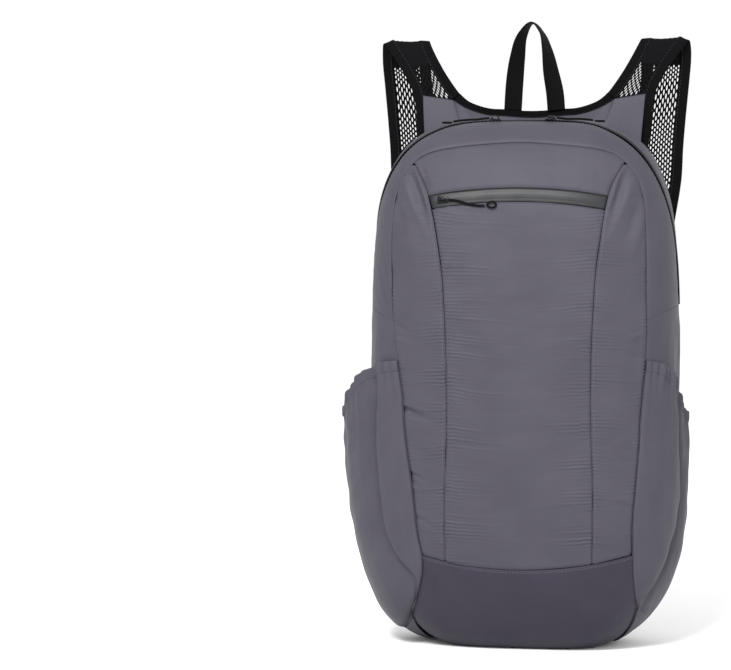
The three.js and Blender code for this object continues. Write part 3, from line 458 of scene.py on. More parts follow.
def upper_front_panel(u, v):
    side = 2 * u - 1
    hand = np.where(side < 0, -1, 1)
    low = BAND_TOP - BAND_DROP
    foot_x = np.abs(side) * (pucker_seam(low, hand) - hand * HALF_GAP)
    top_x, top_z = front_seam(side * math.radians(CORNER_TURN), SEAM_GAP)
    height = lerp(band_top(foot_x) + HALF_GAP, top_z, v)
    across = lerp(foot_x, top_x - side * HALF_GAP, v)
    corner_x, corner_z = front_seam(hand * math.radians(CORNER_TURN), 0)
    straight = lerp(pucker_seam(low, hand), corner_x, v)
    bow = pucker_seam(lerp(low, corner_z, v), hand) - straight
    return front_face(across + side ** 2 * bow, height)


def pocket_zip(u, v):
    side = 2 * u - 1
    hand = np.where(side < 0, -1, 1)
    end = pucker_seam(BAND_TOP - BAND_DROP - BAND_WIDTH * (1 - v), hand)
    across = np.abs(side) * (end - hand * HALF_GAP)
    return front_face(across, lerp(band_top(across) - BAND_WIDTH + HALF_GAP, band_top(across) - HALF_GAP, v))


def front_panel(u, v):
    side = 2 * u - 1
    hand = np.where(side < 0, -1, 1)
    guess = lerp(BOTTOM_SEAM_HEIGHT, BAND_TOP - BAND_DROP - BAND_WIDTH, v)
    across = np.abs(side) * (pucker_seam(guess, hand) - hand * HALF_GAP)
    return front_face(
        across, lerp(bottom_seam(across) + HALF_GAP, band_top(across) - BAND_WIDTH - HALF_GAP, v)
    )


def front_side_panel(side):
    def place(u, v):
        share = u if side > 0 else 1 - u
        low, high = math.radians(BOTTOM_SEAM_TURN[side]), math.radians(CORNER_TURN + 1)
        seam_x, seam_z = front_seam(side * lerp(low, high, v), SEAM_GAP)
        foot = bottom_seam(pucker_seam(BOTTOM_SEAM_HEIGHT, side)) - front_seam(side * low, 0)[1]
        height = seam_z + HALF_GAP + foot * (1 - share) * (1 - v) ** 4
        inner = pucker_seam(height, side) + side * HALF_GAP
        return front_face(lerp(inner, seam_x, share), height)
    return place


def bottom_panel(u, v):
    gap = HALF_GAP / BODY_HALF_WIDTH
    bend = 0.4
    ends = [front_seam(side * math.radians(BOTTOM_SEAM_TURN[side]), HALF_GAP)[0] for side in (-1, 1)]
    x = lerp(ends[1] - HALF_GAP, ends[0] + HALF_GAP, u)
    z = bottom_seam(x) - HALF_GAP
    start_turn = math.pi - np.arctan2(x, WIDEST_HEIGHT - z)
    start_share = np.hypot(x, WIDEST_HEIGHT - z) / outline(start_turn)
    start_tilt = np.arctan2((1 - start_share ** FRONT_FULLNESS) ** (1 / FRONT_FULLNESS), start_share)
    right_turn, right_tilt = np.radians(FOOT_CORNER[1])
    left_turn, left_tilt = np.radians(FOOT_CORNER[-1])
    foot_tilt = lerp(right_tilt, left_tilt, u)
    down = np.clip(v / bend, 0, 1)
    turn = lerp(start_turn, lerp(right_turn + gap, 2 * math.pi - left_turn - gap, u), down)
    plain = lerp(start_tilt, foot_tilt, down)
    edge = front_tilt(turn) + HALF_GAP * slip(turn, foot_tilt)
    face = skin(turn, lerp(plain, np.maximum(plain, edge), (1 - 2 * u) ** 8))
    under = np.clip((v - bend) / (1 - bend), 0, 1)
    back_tilt = math.radians(BACK_SEAM_TILT)
    tilt = lerp(foot_tilt, back_tilt + HALF_GAP * slip(math.pi, back_tilt), under)
    right_foot, left_foot = foot_turn(tilt, 1) + gap, 2 * math.pi - foot_turn(tilt, -1) - gap
    base = skin(lerp(right_foot, left_foot, u), tilt)
    return np.where((v < bend)[..., None], face, base)


ZIP_HALF = ZIP_WIDTH / 2


def fore_of_seam(turn):
    return front_tilt(turn) - HALF_GAP * slip(turn, front_tilt(turn))


def beside_zip(distance):
    return lambda turn: zip_tilt(turn) + distance * slip(turn, zip_tilt(turn))


def back_seam(turn):
    return math.radians(BACK_SEAM_TILT) + HALF_GAP * slip(turn, math.radians(BACK_SEAM_TILT))


def top_strip(fore, aft, lift, tuck=0):
    """A strip over the top. Its ends may tuck in under the side panels by some millimetres."""
    def place(u, v):
        end = math.radians(ZIP_END_TURN) + (tuck - HALF_GAP) / BODY_HALF_WIDTH
        turn = lerp(-end, end, u)
        return lifted(turn, lerp(fore(turn), aft(turn), v), np.full(np.shape(turn), lift))
    return place


def side_panel(side):
    def place(u, v):
        gap = HALF_GAP / BODY_HALF_WIDTH
        share = u if side > 0 else 1 - u
        corner_tilt, back_tilt = math.radians(FOOT_CORNER[side][1]), math.radians(BACK_SEAM_TILT)
        foot = foot_turn(lerp(corner_tilt, back_tilt, v), side) - gap
        turn = side * lerp(math.radians(ZIP_END_TURN) + gap, foot, share)
        return skin(turn, lerp(fore_of_seam(turn), back_seam(turn), v))
    return place


def back_panel(u, v):
    across, up = 1 - 2 * u, 2 * v - 1
    ring = np.maximum(np.abs(across), np.abs(up))
    turn = np.arctan2(across * BODY_HALF_WIDTH, up * WIDEST_HEIGHT)
    seam = skin(turn, math.radians(BACK_SEAM_TILT))
    radius = ring * (np.hypot(seam[..., 0], seam[..., 2] - WIDEST_HEIGHT) - SEAM_GAP)
    swell = (1 - (radius / outline(turn)) ** BACK_FULLNESS) ** (1 / BACK_FULLNESS)
    height = press(WIDEST_HEIGHT + radius * np.cos(turn))
    return np.stack([radius * np.sin(turn), BACK_DEPTH * swell, height], -1)


def pocket_lift(down, across, side):
    """How far a side pocket stands off the body, with its deep pleat and its gathered mouth."""
    column = 2 if side > 0 else 1
    pleat = read(POCKET_PLEAT, column, down)
    fore = PLEAT_PLACE * across / pleat
    aft = PLEAT_PLACE + (1 - PLEAT_PLACE) * (across - pleat) / (1 - pleat)
    swell = read(POCKET_SWELL, column, np.where(across < pleat, fore, aft))
    sewn = smooth(across / 0.06) * smooth((1 - across) / 0.06)
    drift = 1.3 * ripple(80 + side, across * 100, down * 70, 55)
    fine = np.sin(2 * math.pi * across * 21 + drift) * np.exp(-np.abs(down) * 11)
    broad = np.sin(2 * math.pi * across * 8 + 2 + 1.6 * down + drift) * np.exp(-np.abs(down) * 3.2)
    slack = ripple(84 + side, across * 100, down * 45, 34) * smooth((1 - down) / 0.25)
    creases = ripple(88 + side, across * 100 + down * 30, down * 190, 26) * smooth((1 - down) / 0.2)
    relief = 0.9 * fine + 1.0 * broad + 1.1 * slack + 0.45 * creases
    share = read(POCKET_DOWN, column, down)
    return CLOTH + 0.3 + (swell - 0.9) * share + relief * sewn * smooth((1 - down) / 0.1)


def pocket_place(down, across, side):
    corner_tilt, back_tilt = math.radians(FOOT_CORNER[side][1]), math.radians(BACK_SEAM_TILT)
    foot = foot_turn(lerp(corner_tilt, back_tilt, across), side)
    mouth = np.radians(read(POCKET_MOUTH, 1, across))
    turn = side * lerp(mouth, foot - SEAM_GAP / BODY_HALF_WIDTH, down)
    return turn, lerp(fore_of_seam(turn), back_seam(turn), across)


def side_pocket(side):
    def place(u, v):
        down = u if side > 0 else 1 - u
        turn, tilt = pocket_place(down, v, side)
        point = lifted(turn, tilt, np.maximum(pocket_lift(down, v, side), 0.9))
        point[..., 2] = np.maximum(point[..., 2], 0)
        return point
    return place


def pocket_hem(side):
    """The turned-over hem with elastic inside. It takes the pocket's top edge in."""
    def place(u, v):
        down = lerp(*HEM_DOWN, u if side > 0 else 1 - u)
        turn, tilt = pocket_place(down, v, side)
        return lifted(turn, tilt, np.maximum(pocket_lift(0 * v, v, side), 0.9) + 0.7)
    return place


def sided(place, side):
    """The same surface on the other side of the bag."""
    def mirrored(u, v):
        point = np.array(place(u if side > 0 else 1 - u, v))
        point[..., 0] *= side
        return point
    return mirrored


class Route:
    """A centripetal curve through points, from 0 at the first to 1 at the last."""

    def __init__(self, points):
        self.points = np.array(points, float)
        first = 2 * self.points[0] - self.points[1]
        last = 2 * self.points[-1] - self.points[-2]
        self.padded = np.vstack([first, self.points, last])

    def at(self, t):
        place = np.clip(t, 0, 1) * (len(self.points) - 1)
        row = np.clip(np.floor(place).astype(int), 0, len(self.points) - 2)
        weight = (place - row)[..., None]
        p = [self.padded[row + k] for k in range(4)]
        gaps = [np.sqrt(np.linalg.norm(p[k + 1] - p[k], axis=-1, keepdims=True)) for k in range(3)]
        middle = np.where(gaps[1] < 1e-4, 1, gaps[1])
        before = np.where(gaps[0] < 1e-4, middle, gaps[0])
        after = np.where(gaps[2] < 1e-4, middle, gaps[2])
        lead = ((p[1] - p[0]) / before - (p[2] - p[0]) / (before + middle) + (p[2] - p[1]) / middle) * middle
        trail = ((p[2] - p[1]) / middle - (p[3] - p[1]) / (middle + after) + (p[3] - p[2]) / after) * middle
        cubic = 2 * p[1] - 2 * p[2] + lead + trail
        square = -3 * p[1] + 3 * p[2] - 2 * lead - trail
        return ((cubic * weight + square) * weight + lead) * weight + p[1]

    def along(self, t):
        step = 1e-4
        return unit(self.at(np.clip(t + step, 0, 1)) - self.at(np.clip(t - step, 0, 1)))

    def beside(self, t, toward, distance):
        """A point beside the curve, at a distance towards a direction and square to the curve."""
        along = self.along(t)
        toward = np.broadcast_to(np.asarray(toward, float), along.shape)
        away = unit(toward - along * np.sum(along * toward, -1, keepdims=True))
        return self.at(t) + away * np.asarray(distance, float)[..., None]


INNER_LINE = Route(
    [(reach * STRAP_REACH, NECK_SETBACK, rise * NECK_HEIGHT) for reach, rise in NECKLINE]
    + [(row[0] * STRAP_REACH, row[4] * STRAP_SETBACK, row[1] * STRAP_TOP) for row in STRAP]
)
OUTER_LINE = Route(
    [(reach * STRAP_REACH, back * STRAP_SETBACK, up * STRAP_TOP) for reach, up, back in OUTER_TAIL]
    + [(row[2] * STRAP_REACH, row[4] * STRAP_SETBACK, row[3] * STRAP_TOP) for row in STRAP]
)
MIDDLE_LINE = Route([
    ((row[0] + row[2]) / 2 * STRAP_REACH, row[4] * STRAP_SETBACK, (row[1] + row[3]) / 2 * STRAP_TOP)
    for row in STRAP
])
LOOP_LINE = Route([
    (reach * LOOP_SPREAD, NECK_SETBACK, NECKLINE[2][1] * NECK_HEIGHT + LOOP_FOOT + rise * LOOP_RISE)
    for reach, rise, twist in HAUL_LOOP
])
NECK_SHARE = len(NECKLINE) / (len(NECKLINE) + len(STRAP) - 1)
TAIL_SHARE = len(OUTER_TAIL) / (len(OUTER_TAIL) + len(STRAP) - 1)
SIDEWAYS = (1, 0, 0)
DOWN = (0, 0, -1)


def strap_place(v):
    """Place along a strap, evened out between the table's rows and the strap's length."""
    marks = np.linspace(0, 1, 201)
    length = far_along(MIDDLE_LINE.at(marks))
    share = np.clip(v, 0, 1)
    return lerp(share, np.interp(share, length / length[-1], marks), 0.5)


def inner_binding(u, v):
    return INNER_LINE.beside(lerp(NECK_SHARE, 1, strap_place(v)), SIDEWAYS, BINDING_WIDTH * u)


def outer_binding(u, v):
    tail = TAIL_ROWS / (TAIL_ROWS + STRAP_ROWS)
    strap = lerp(TAIL_SHARE, 1, strap_place((v - tail) / (1 - tail)))
    t = np.where(v < tail, TAIL_SHARE * v / tail, strap)
    return OUTER_LINE.beside(t, (-1, 0, 0), BINDING_WIDTH * (1 - u))


def strap_net(u, v):
    inset = BINDING_WIDTH - 1
    start = INNER_LINE.beside(lerp(NECK_SHARE, 1, strap_place(v)), SIDEWAYS, inset + 0 * u)
    end = OUTER_LINE.beside(lerp(TAIL_SHARE, 1, strap_place(v)), (-1, 0, 0), inset + 0 * u)
    return lerp(start, end, u[..., None])


def neck_binding(u, v):
    side = 2 * u - 1
    width = lerp(NECK_BAND, BINDING_WIDTH, side ** 8)
    point = INNER_LINE.beside(np.abs(side) * NECK_SHARE, DOWN, width * (1 - v))
    point[..., 0] *= np.where(side < 0, -1, 1)
    return point


def yoke(u, v):
    side = 2 * u - 1
    reach = np.abs(side)
    foot = lifted(side * math.radians(YOKE_END_TURN), math.radians(BACK_SEAM_TILT), 0.4 + 0 * u)
    share = np.clip(reach / YOKE_NECK_SHARE, 0, 1)
    width = lerp(NECK_BAND, BINDING_WIDTH, share ** 8)
    neck = INNER_LINE.beside(share * NECK_SHARE, DOWN, width - 1)
    inset = BINDING_WIDTH - 1 + 0 * u
    start = INNER_LINE.beside(NECK_SHARE + 0 * u, SIDEWAYS, inset)
    end = OUTER_LINE.beside(TAIL_SHARE + 0 * u, (-1, 0, 0), inset)
    strap = lerp(start, end, np.clip((reach - YOKE_NECK_SHARE) / (1 - YOKE_NECK_SHARE), 0, 1)[..., None])
    top = np.where((reach < YOKE_NECK_SHARE)[..., None], neck, strap)
    top[..., 0] *= np.where(side < 0, -1, 1)
    return lerp(foot, top, v[..., None])


def haul_loop(u, v):
    rows = np.linspace(0, 1, len(HAUL_LOOP))
    twist = np.radians(np.interp(v, rows, [row[2] for row in HAUL_LOOP]))
    across = np.stack([np.cos(twist), np.sin(twist), 0 * twist], -1)
    return LOOP_LINE.beside(v, across, LOOP_WEBBING * (u - 0.5))


# Making cloth and tape


def facing(place, u, v, step):
    """A surface's unit normals, from small steps that stay inside it."""
    along = place(np.clip(u + step, 0, 1), v) - place(np.clip(u - step, 0, 1), v)
    across = place(u, np.clip(v + step, 0, 1)) - place(u, np.clip(v - step, 0, 1))
    return unit(np.cross(along, across))


def rings(side, over, around):
    """Unit circles round a path, on two directions square to it, and the angles round them."""
    side, over = np.atleast_2d(side), np.atleast_2d(over)
    angle = np.linspace(0, 2 * math.pi, around + 1)
    return np.cos(angle)[None, :, None] * side[:, None] + np.sin(angle)[None, :, None] * over[:, None], angle


class Cloth:
    """A grid laid on a surface, with its distances to each edge along the cloth."""

    def __init__(self, columns, rows, place, crowd_u=0, crowd_v=0):
        self.columns, self.rows = columns, rows
        u = np.linspace(0, 1, columns + 1)
        v = np.linspace(0, 1, rows + 1)
        u = u - crowd_u * np.sin(2 * math.pi * u) / (2 * math.pi)
        v = v - crowd_v * np.sin(2 * math.pi * v) / (2 * math.pi)
        self.u, self.v = np.meshgrid(u, v)
        self.points = place(self.u, self.v)
        self.normals = facing(place, self.u, self.v, 1e-4)
        self.measure()

    def measure(self):
        steps = np.linalg.norm(np.diff(self.points, axis=1), axis=-1)
        self.left = np.pad(np.cumsum(steps, axis=1), ((0, 0), (1, 0)))
        self.right = self.left[:, -1:] - self.left
        steps = np.linalg.norm(np.diff(self.points, axis=0), axis=-1)
        self.low = np.pad(np.cumsum(steps, axis=0), ((1, 0), (0, 0)))
        self.high = self.low[-1:] - self.low

    @property
    def x(self):
        return self.points[..., 0]

    @property
    def z(self):
        return self.points[..., 2]

    def raise_by(self, lift):
        """Moves the cloth along its normals, and works its normals out again."""
        self.points = self.points + self.normals * np.broadcast_to(lift, self.u.shape)[..., None]
        along = np.gradient(self.points, axis=1)
        across = np.gradient(self.points, axis=0)
        self.normals = unit(np.cross(along, across))

    def line(self, edge, distance):
        """The line at a distance inside an edge, with the cloth's normals there."""
        far = {"left": self.left, "right": self.right, "low": self.low, "high": self.high}[edge]
        sideways = edge in ("left", "right")
        field = np.concatenate([self.points, self.normals], -1)
        if not sideways:
            far, field = far.T, field.transpose(1, 0, 2)
        if edge in ("right", "high"):
            far, field = far[:, ::-1], field[:, ::-1]
        found = np.array([
            [np.interp(distance, far[k], field[k, :, c]) for c in range(6)] for k in range(len(far))
        ])
        return found[:, :3], unit(found[:, 3:])


def to_mesh(bm, name):
    mesh = bpy.data.meshes.new(name)
    bm.to_mesh(mesh)
    bm.free()
    return mesh


def new_piece(name, bm, material, nodes=()):
    mesh = to_mesh(bm, name)
    piece = bpy.data.objects.new(name, mesh)
    bpy.context.scene.collection.objects.link(piece)
    mesh.materials.append(material)
    for polygon in mesh.polygons:
        polygon.use_smooth = True
    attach(piece, "root")
    if nodes:
        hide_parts(*nodes)
    return piece


def lay_grid(columns, rows, points, uvs):
    """A bmesh grid whose corners are moved to a table of points, with a map in metres."""
    bm = bmesh.new()
    bmesh.ops.create_grid(bm, x_segments=columns, y_segments=rows, size=0.5)
    layer = bm.loops.layers.uv.new("cloth")
    spots = {
        vert: (round((vert.co.y + 0.5) * rows), round((vert.co.x + 0.5) * columns)) for vert in bm.verts
    }
    for face in bm.faces:
        for loop in face.loops:
            loop[layer].uv = uvs[spots[loop.vert]]
    for vert, spot in spots.items():
        vert.co = points[spot]
    return bm


def wall_in(piece, thickness):
    """Gives a sheet its wall, grown inwards."""
    wall = piece.modifiers.new("wall", "SOLIDIFY")
    wall.thickness = thickness / 1000
    wall.offset = -1


def sew(name, cloth, material, nodes=(), thickness=CLOTH):
    """A cloth panel: the grid, with its wall grown inwards."""
    uvs = np.stack([cloth.left, cloth.low], -1) / 1000
    bm = lay_grid(cloth.columns, cloth.rows, placed(cloth.points), uvs)
    wall_in(new_piece(name, bm, material, nodes), thickness)


def sealed(bm, merge=1e-6):
    """Joins a swept grid's seam, closes its ends and turns its faces outwards."""
    bmesh.ops.remove_doubles(bm, verts=bm.verts, dist=merge)
    bmesh.ops.holes_fill(bm, edges=[edge for edge in bm.edges if edge.is_boundary], sides=0)
    bmesh.ops.recalc_face_normals(bm, faces=bm.faces)
    return bm


def tape(name, place, rows, thickness, material, nodes=(), around=24, roundness=0.35):
    """A flat tape with rounded edges: a closed section swept along a surface."""
    angle = np.linspace(0, 2 * math.pi, around + 1)
    across = 0.5 + 0.5 * np.sign(np.cos(angle)) * np.abs(np.cos(angle)) ** roundness
    deep = 0.5 - 0.5 * np.sign(np.sin(angle)) * np.abs(np.sin(angle)) ** roundness
    spots, levels = np.meshgrid(across, np.linspace(0, 1, rows + 1))
    depth = np.broadcast_to(deep * thickness, spots.shape)
    points = place(spots, levels) - facing(place, spots, levels, 1e-3) * depth[..., None]
    ring = np.linalg.norm(np.diff(points, axis=1), axis=-1)
    far = np.linalg.norm(np.diff(points, axis=0), axis=-1)
    uvs = np.stack([
        np.pad(np.cumsum(ring, axis=1), ((0, 0), (1, 0))),
        np.pad(np.cumsum(far, axis=0), ((1, 0), (0, 0))),
    ], -1) / 1000
    new_piece(name, sealed(lay_grid(around, rows, placed(points), uvs)), material, nodes)


STITCH_PITCH = 3.0
THREAD = 0.45
# Sides of the drawn thread, and its steps from hole to hole
THREAD_AROUND, THREAD_STEPS = 4, 6


def stitch(name, lines, material, pitch=STITCH_PITCH, thread=THREAD):
    """Rows of lockstitch: a thread that lies on the cloth and dives at each needle hole."""
    bm = bmesh.new()
    layer = bm.loops.layers.uv.new("cloth")
    for points, normals in lines:
        far = far_along(points)
        rows = int(far[-1] / pitch) * THREAD_STEPS
        marks = np.linspace(0, far[-1], rows + 1)
        path = np.stack([np.interp(marks, far, points[:, k]) for k in range(3)], -1)
        up = unit(np.stack([np.interp(marks, far, normals[:, k]) for k in range(3)], -1))
        dive = np.abs(np.cos(math.pi * np.arange(rows + 1) / THREAD_STEPS)) ** 5
        path = path + up * (thread * (0.25 - 1.5 * dive))[:, None]
        ring = rings(unit(np.cross(up, np.gradient(path, axis=0))), up, THREAD_AROUND)[0]
        spots = placed(path[:, None] + ring * (thread / 2))
        made = bmesh.ops.create_grid(bm, x_segments=THREAD_AROUND, y_segments=rows, size=0.5)
        for vert in made["verts"]:
            row, spot = round((vert.co.y + 0.5) * rows), round((vert.co.x + 0.5) * THREAD_AROUND)
            vert.co = spots[row, spot]
        for face in {face for vert in made["verts"] for face in vert.link_faces}:
            for loop in face.loops:
                loop[layer].uv = (0, 0)
    bmesh.ops.recalc_face_normals(bm, faces=bm.faces)
    new_piece(name, bm, material)


# Finishes

# A wave texture of scale 1 repeats every 0.314 m
WAVE_METRES = 0.314
# Thread spacing of the drawn weave. The real one, about 0.2 mm, is too fine to show.
WEAVE_PITCH = 0.0009
# A noise texture of this scale has grains of about 3 mm
GRAIN_SCALE = 300
# Sockets of a colour mix
MIX_LOW, MIX_HIGH, MIX_OUT = 6, 7, 2


def nylon(name, colour, shade):
    """Calendered nylon taffeta with a thin coating: a soft even grey with a low sheen, a fine
    plain weave that is drawn at 0.9 mm so that it shows, and shallow handling wrinkles."""
    material, tree, shader = finish(name, {
        "Roughness": 0.55, "IOR": 1.5, "Specular IOR Level": 0.16,
        "Sheen Weight": 0.02, "Sheen Roughness": 0.4,
    })
    uv = add(tree, "ShaderNodeUVMap", {"uv_map": "cloth"}).outputs["UV"]
    warp, weft = (
        add(tree, "ShaderNodeTexWave", {
            "wave_type": "BANDS", "bands_direction": way,
            "Scale": WAVE_METRES / WEAVE_PITCH, "Distortion": 0.4,
        }, {"Vector": uv})
        for way in ("X", "Y")
    )
    weave = add(tree, "ShaderNodeMath", {"operation": "ADD"}, {
        0: warp.outputs["Fac"], 1: weft.outputs["Fac"],
    })
    patches = add(tree, "ShaderNodeTexNoise", {"Scale": 22, "Detail": 3, "Roughness": 0.5}, {"Vector": uv})
    streaks_at = add(tree, "ShaderNodeMapping", {"Scale": (30, 260, 1)}, {"Vector": uv})
    streaks = add(tree, "ShaderNodeTexNoise", {"Scale": 1, "Detail": 4}, {
        "Vector": streaks_at.outputs["Vector"],
    })
    mixed = add(tree, "ShaderNodeMath", {"operation": "MULTIPLY_ADD", 1: 0.35}, {
        0: streaks.outputs["Fac"], 2: patches.outputs["Fac"],
    })
    ramp = add(tree, "ShaderNodeMapRange", {"From Min": 0.35, "From Max": 1.0}, {"Value": mixed.outputs[0]})
    tint = add(tree, "ShaderNodeMix", {"data_type": "RGBA"}, {"Factor": ramp.outputs["Result"]})
    for socket, code in ((MIX_LOW, shade), (MIX_HIGH, colour)):
        tint.inputs[socket].default_value = linear(code)
    tree.links.new(tint.outputs[MIX_OUT], shader.inputs["Base Color"])
    wrinkle = add(tree, "ShaderNodeTexNoise", {"Scale": 95, "Detail": 6, "Roughness": 0.55}, {"Vector": uv})
    bump_far = add(tree, "ShaderNodeBump", {"Strength": 0.25, "Distance": 0.0012}, {
        "Height": wrinkle.outputs["Fac"],
    })
    bump = add(tree, "ShaderNodeBump", {"Strength": 0.25, "Distance": 0.00012}, {
        "Height": weave.outputs[0], "Normal": bump_far.outputs["Normal"],
    })
    tree.links.new(bump.outputs["Normal"], shader.inputs["Normal"])
    return material


def woven_tape(name, colour, shade, rib, roughness):
    """Woven polyester tape: matt black ribs with a short nap that lifts the edges a little."""
    material, tree, shader = finish(name, {
        "Roughness": roughness, "IOR": 1.5, "Specular IOR Level": 0.06,
        "Sheen Weight": 0.01, "Sheen Roughness": 0.5,
    })
    uv = add(tree, "ShaderNodeUVMap", {"uv_map": "cloth"}).outputs["UV"]
    ribs, cords = (
        add(tree, "ShaderNodeTexWave", {
            "wave_type": "BANDS", "bands_direction": way, "Scale": WAVE_METRES / pitch, "Distortion": bend,
        }, {"Vector": uv})
        for way, pitch, bend in (("Y", rib, 0.6), ("X", rib * 0.8, 0.3))
    )
    weave = add(tree, "ShaderNodeMath", {"operation": "MULTIPLY"}, {
        0: ribs.outputs["Fac"], 1: cords.outputs["Fac"],
    })
    tint = add(tree, "ShaderNodeMix", {
        "data_type": "RGBA", MIX_LOW: linear(shade), MIX_HIGH: linear(colour),
    }, {0: weave.outputs[0]})
    tree.links.new(tint.outputs[MIX_OUT], shader.inputs["Base Color"])
    bump = add(tree, "ShaderNodeBump", {"Strength": 0.5, "Distance": 0.0003}, {"Height": weave.outputs[0]})
    tree.links.new(bump.outputs["Normal"], shader.inputs["Normal"])
    return material


def smooth_finish(name, colour, shade, roughness, metallic=0):
    """A smooth moulded, laminated or enamelled surface with a fine uneven grain, so that its
    highlights break up softly."""
    material, tree, shader = finish(name, {
        "Roughness": roughness, "Metallic": metallic, "IOR": 1.5, "Specular IOR Level": 0.3,
    })
    where = add(tree, "ShaderNodeTexCoord").outputs["Object"]
    noise = add(tree, "ShaderNodeTexNoise", {"Scale": GRAIN_SCALE, "Detail": 5}, {"Vector": where})
    tint = add(tree, "ShaderNodeMix", {
        "data_type": "RGBA", MIX_LOW: linear(shade), MIX_HIGH: linear(colour),
    }, {0: noise.outputs["Fac"]})
    tree.links.new(tint.outputs[MIX_OUT], shader.inputs["Base Color"])
    bump = add(tree, "ShaderNodeBump", {"Strength": 0.4, "Distance": 0.0001}, {
        "Height": noise.outputs["Fac"],
    })
    tree.links.new(bump.outputs["Normal"], shader.inputs["Normal"])
    return material


GREY_NYLON = nylon("grey_nylon_taffeta", "#413F47", "#393740")
# The bottom panel's nylon is the grey nylon made darker: painted shade on the lower part of the bag
BASE_NYLON_PAINTED_SHADE = nylon("grey_nylon_painted_shade_base", "#302D38", "#292630")
BLACK_BINDING = woven_tape("black_binding_tape", "#0A0A0C", "#040405", 0.0011, 0.8)
BLACK_WEBBING = woven_tape("black_webbing", "#0D0D0F", "#050506", 0.0014, 0.75)
BLACK_NET = woven_tape("black_knitted_net", "#101113", "#070708", 0.0009, 0.85)
ZIP_LAMINATE = smooth_finish("charcoal_zip_laminate", "#17181B", "#101113", 0.46)
ZIP_COIL = smooth_finish("black_nylon_coil", "#141519", "#0B0C0E", 0.45)
SLIDER_ENAMEL = smooth_finish("black_slider_enamel", "#1C1D20", "#101113", 0.32, 0.6)
PULL_CORD = woven_tape("black_braided_cord", "#121214", "#060607", 0.0008, 0.7)
CLASP_PLASTIC = smooth_finish("black_moulded_plastic", "#17181B", "#0E0F11", 0.45)
# The grey thread is a little lighter than the cloth: painted highlight on the stitches
GREY_THREAD_PAINTED_HIGHLIGHT = smooth_finish("grey_thread_painted_highlight", "#54515B", "#45424B", 0.55)
BLACK_THREAD = smooth_finish("black_polyester_thread", "#1A1A1D", "#0E0E10", 0.55)


# Pull cords


CORD_AROUND, CORD_ROWS, PULL_LOOP_ROWS = 12, 64, 48


def braided(name, path, ring, angle, radius, merge, nodes):
    """A round cord along a path, with the low relief of a four-strand braid."""
    rows = len(path) - 1
    braid = 1 + 0.06 * np.sin(4 * angle[None, :] + np.arange(rows + 1)[:, None] * math.pi / 2)
    points = path[:, None] + ring * (radius * braid)[..., None]
    uvs = np.stack(np.meshgrid(angle * CORD / 2, far_along(path)), -1) / 1000
    bm = sealed(lay_grid(CORD_AROUND, rows, placed(points), uvs), merge)
    return new_piece(name, bm, PULL_CORD, nodes)


def cord_tube(name, route, nodes):
    """A pull's cord along its route, with the route's points and its length."""
    line = Route(route)
    t = np.linspace(0, 1, CORD_ROWS + 1)
    path, along = line.at(t), line.along(t)
    side = unit(np.cross(along, np.broadcast_to((0, 0, 1.0), along.shape)))
    ring, angle = rings(side, np.cross(side, along), CORD_AROUND)
    piece = braided(name, path, ring, angle, CORD / 2, 1e-6, nodes)
    return piece, placed(path), far_along(path)[-1]


def pull_loop(name, route, normal, nodes):
    """The small closed loop at a pull's end, a bent cord of its own."""
    line = Route(route)
    end, along = line.at(np.array([1.0]))[0], line.along(np.array([1.0]))[0]
    normal = unit(np.array(normal, float))
    side = unit(np.cross(normal, along))
    ahead = np.cross(side, normal)
    centre = end + along * (LOOP_STRETCH * (LOOP_RADIUS + CORD / 2) + LOOP_GAP)
    turn = np.linspace(0, 2 * math.pi, PULL_LOOP_ROWS + 1)
    narrow = 1 + 0.25 * np.cos(turn)
    oval = np.cos(turn)[:, None] * ahead * LOOP_STRETCH + (np.sin(turn) * narrow)[:, None] * side
    path = centre + oval * LOOP_RADIUS
    heading = unit(np.gradient(path, axis=0))
    heading[0] = heading[-1] = side
    ring, angle = rings(np.cross(heading, normal), normal, CORD_AROUND)
    return braided(name, path, ring, angle, CORD * 0.45, 2e-5, nodes)


def add_pulls():
    for name, route, normal in (
        ("left_pull", LEFT_PULL, (0, 0, 1)),
        ("right_pull", RIGHT_PULL, (0, 0, 1)),
        ("pocket_pull", POCKET_PULL, (0, -4, 1)),
    ):
        cord, path, length = cord_tube(f"{name}_cord_braid", route, [f"{name}_cord"])
        loop = pull_loop(f"{name}_loop_braid", route, normal, [f"{name}_loop"])


add_camera()
add_pulls()


# Relief of the sewn cloth, in millimetres


def rolled(cloth, edges, depth, reach):
    """Edges turned in at a seam, by a depth and over a reach in millimetres."""
    fields = {"left": cloth.left, "right": cloth.right, "low": cloth.low, "high": cloth.high}
    drop = np.zeros(cloth.u.shape)
    for edge in edges:
        drop = np.maximum(drop, np.exp(-((fields[edge] / reach) ** 2)))
    return -depth * drop


PUCKER_PITCH = 2.9


def puckers(cloth, distance, seed, deep, shortest, longest):
    """Fine gathers that run away from a seam, each with its own length and height."""
    rng = np.random.default_rng(seed)
    drift = 0.9 * ripple(seed + 1, cloth.x, cloth.z, 55) + 0.4 * ripple(seed + 2, cloth.x * 3, cloth.z, 17)
    place = (cloth.z + 0.08 * distance + drift) / PUCKER_PITCH
    count = int(BODY_HEIGHT / PUCKER_PITCH) + 8
    groups = 0.62 + 0.38 * np.sin(np.cumsum(rng.uniform(0.2, 0.9, count)))
    lengths = rng.uniform(shortest, longest, count) * (0.5 + 0.5 * groups)
    heights = deep * rng.uniform(0.35, 1.15, count) * groups
    index = np.clip(np.floor(place).astype(int) + 3, 0, count - 1)
    wave = np.sin(math.pi * (place - np.floor(place))) ** 1.6
    return heights[index] * wave * np.exp(-((distance / lengths[index]) ** 1.7))


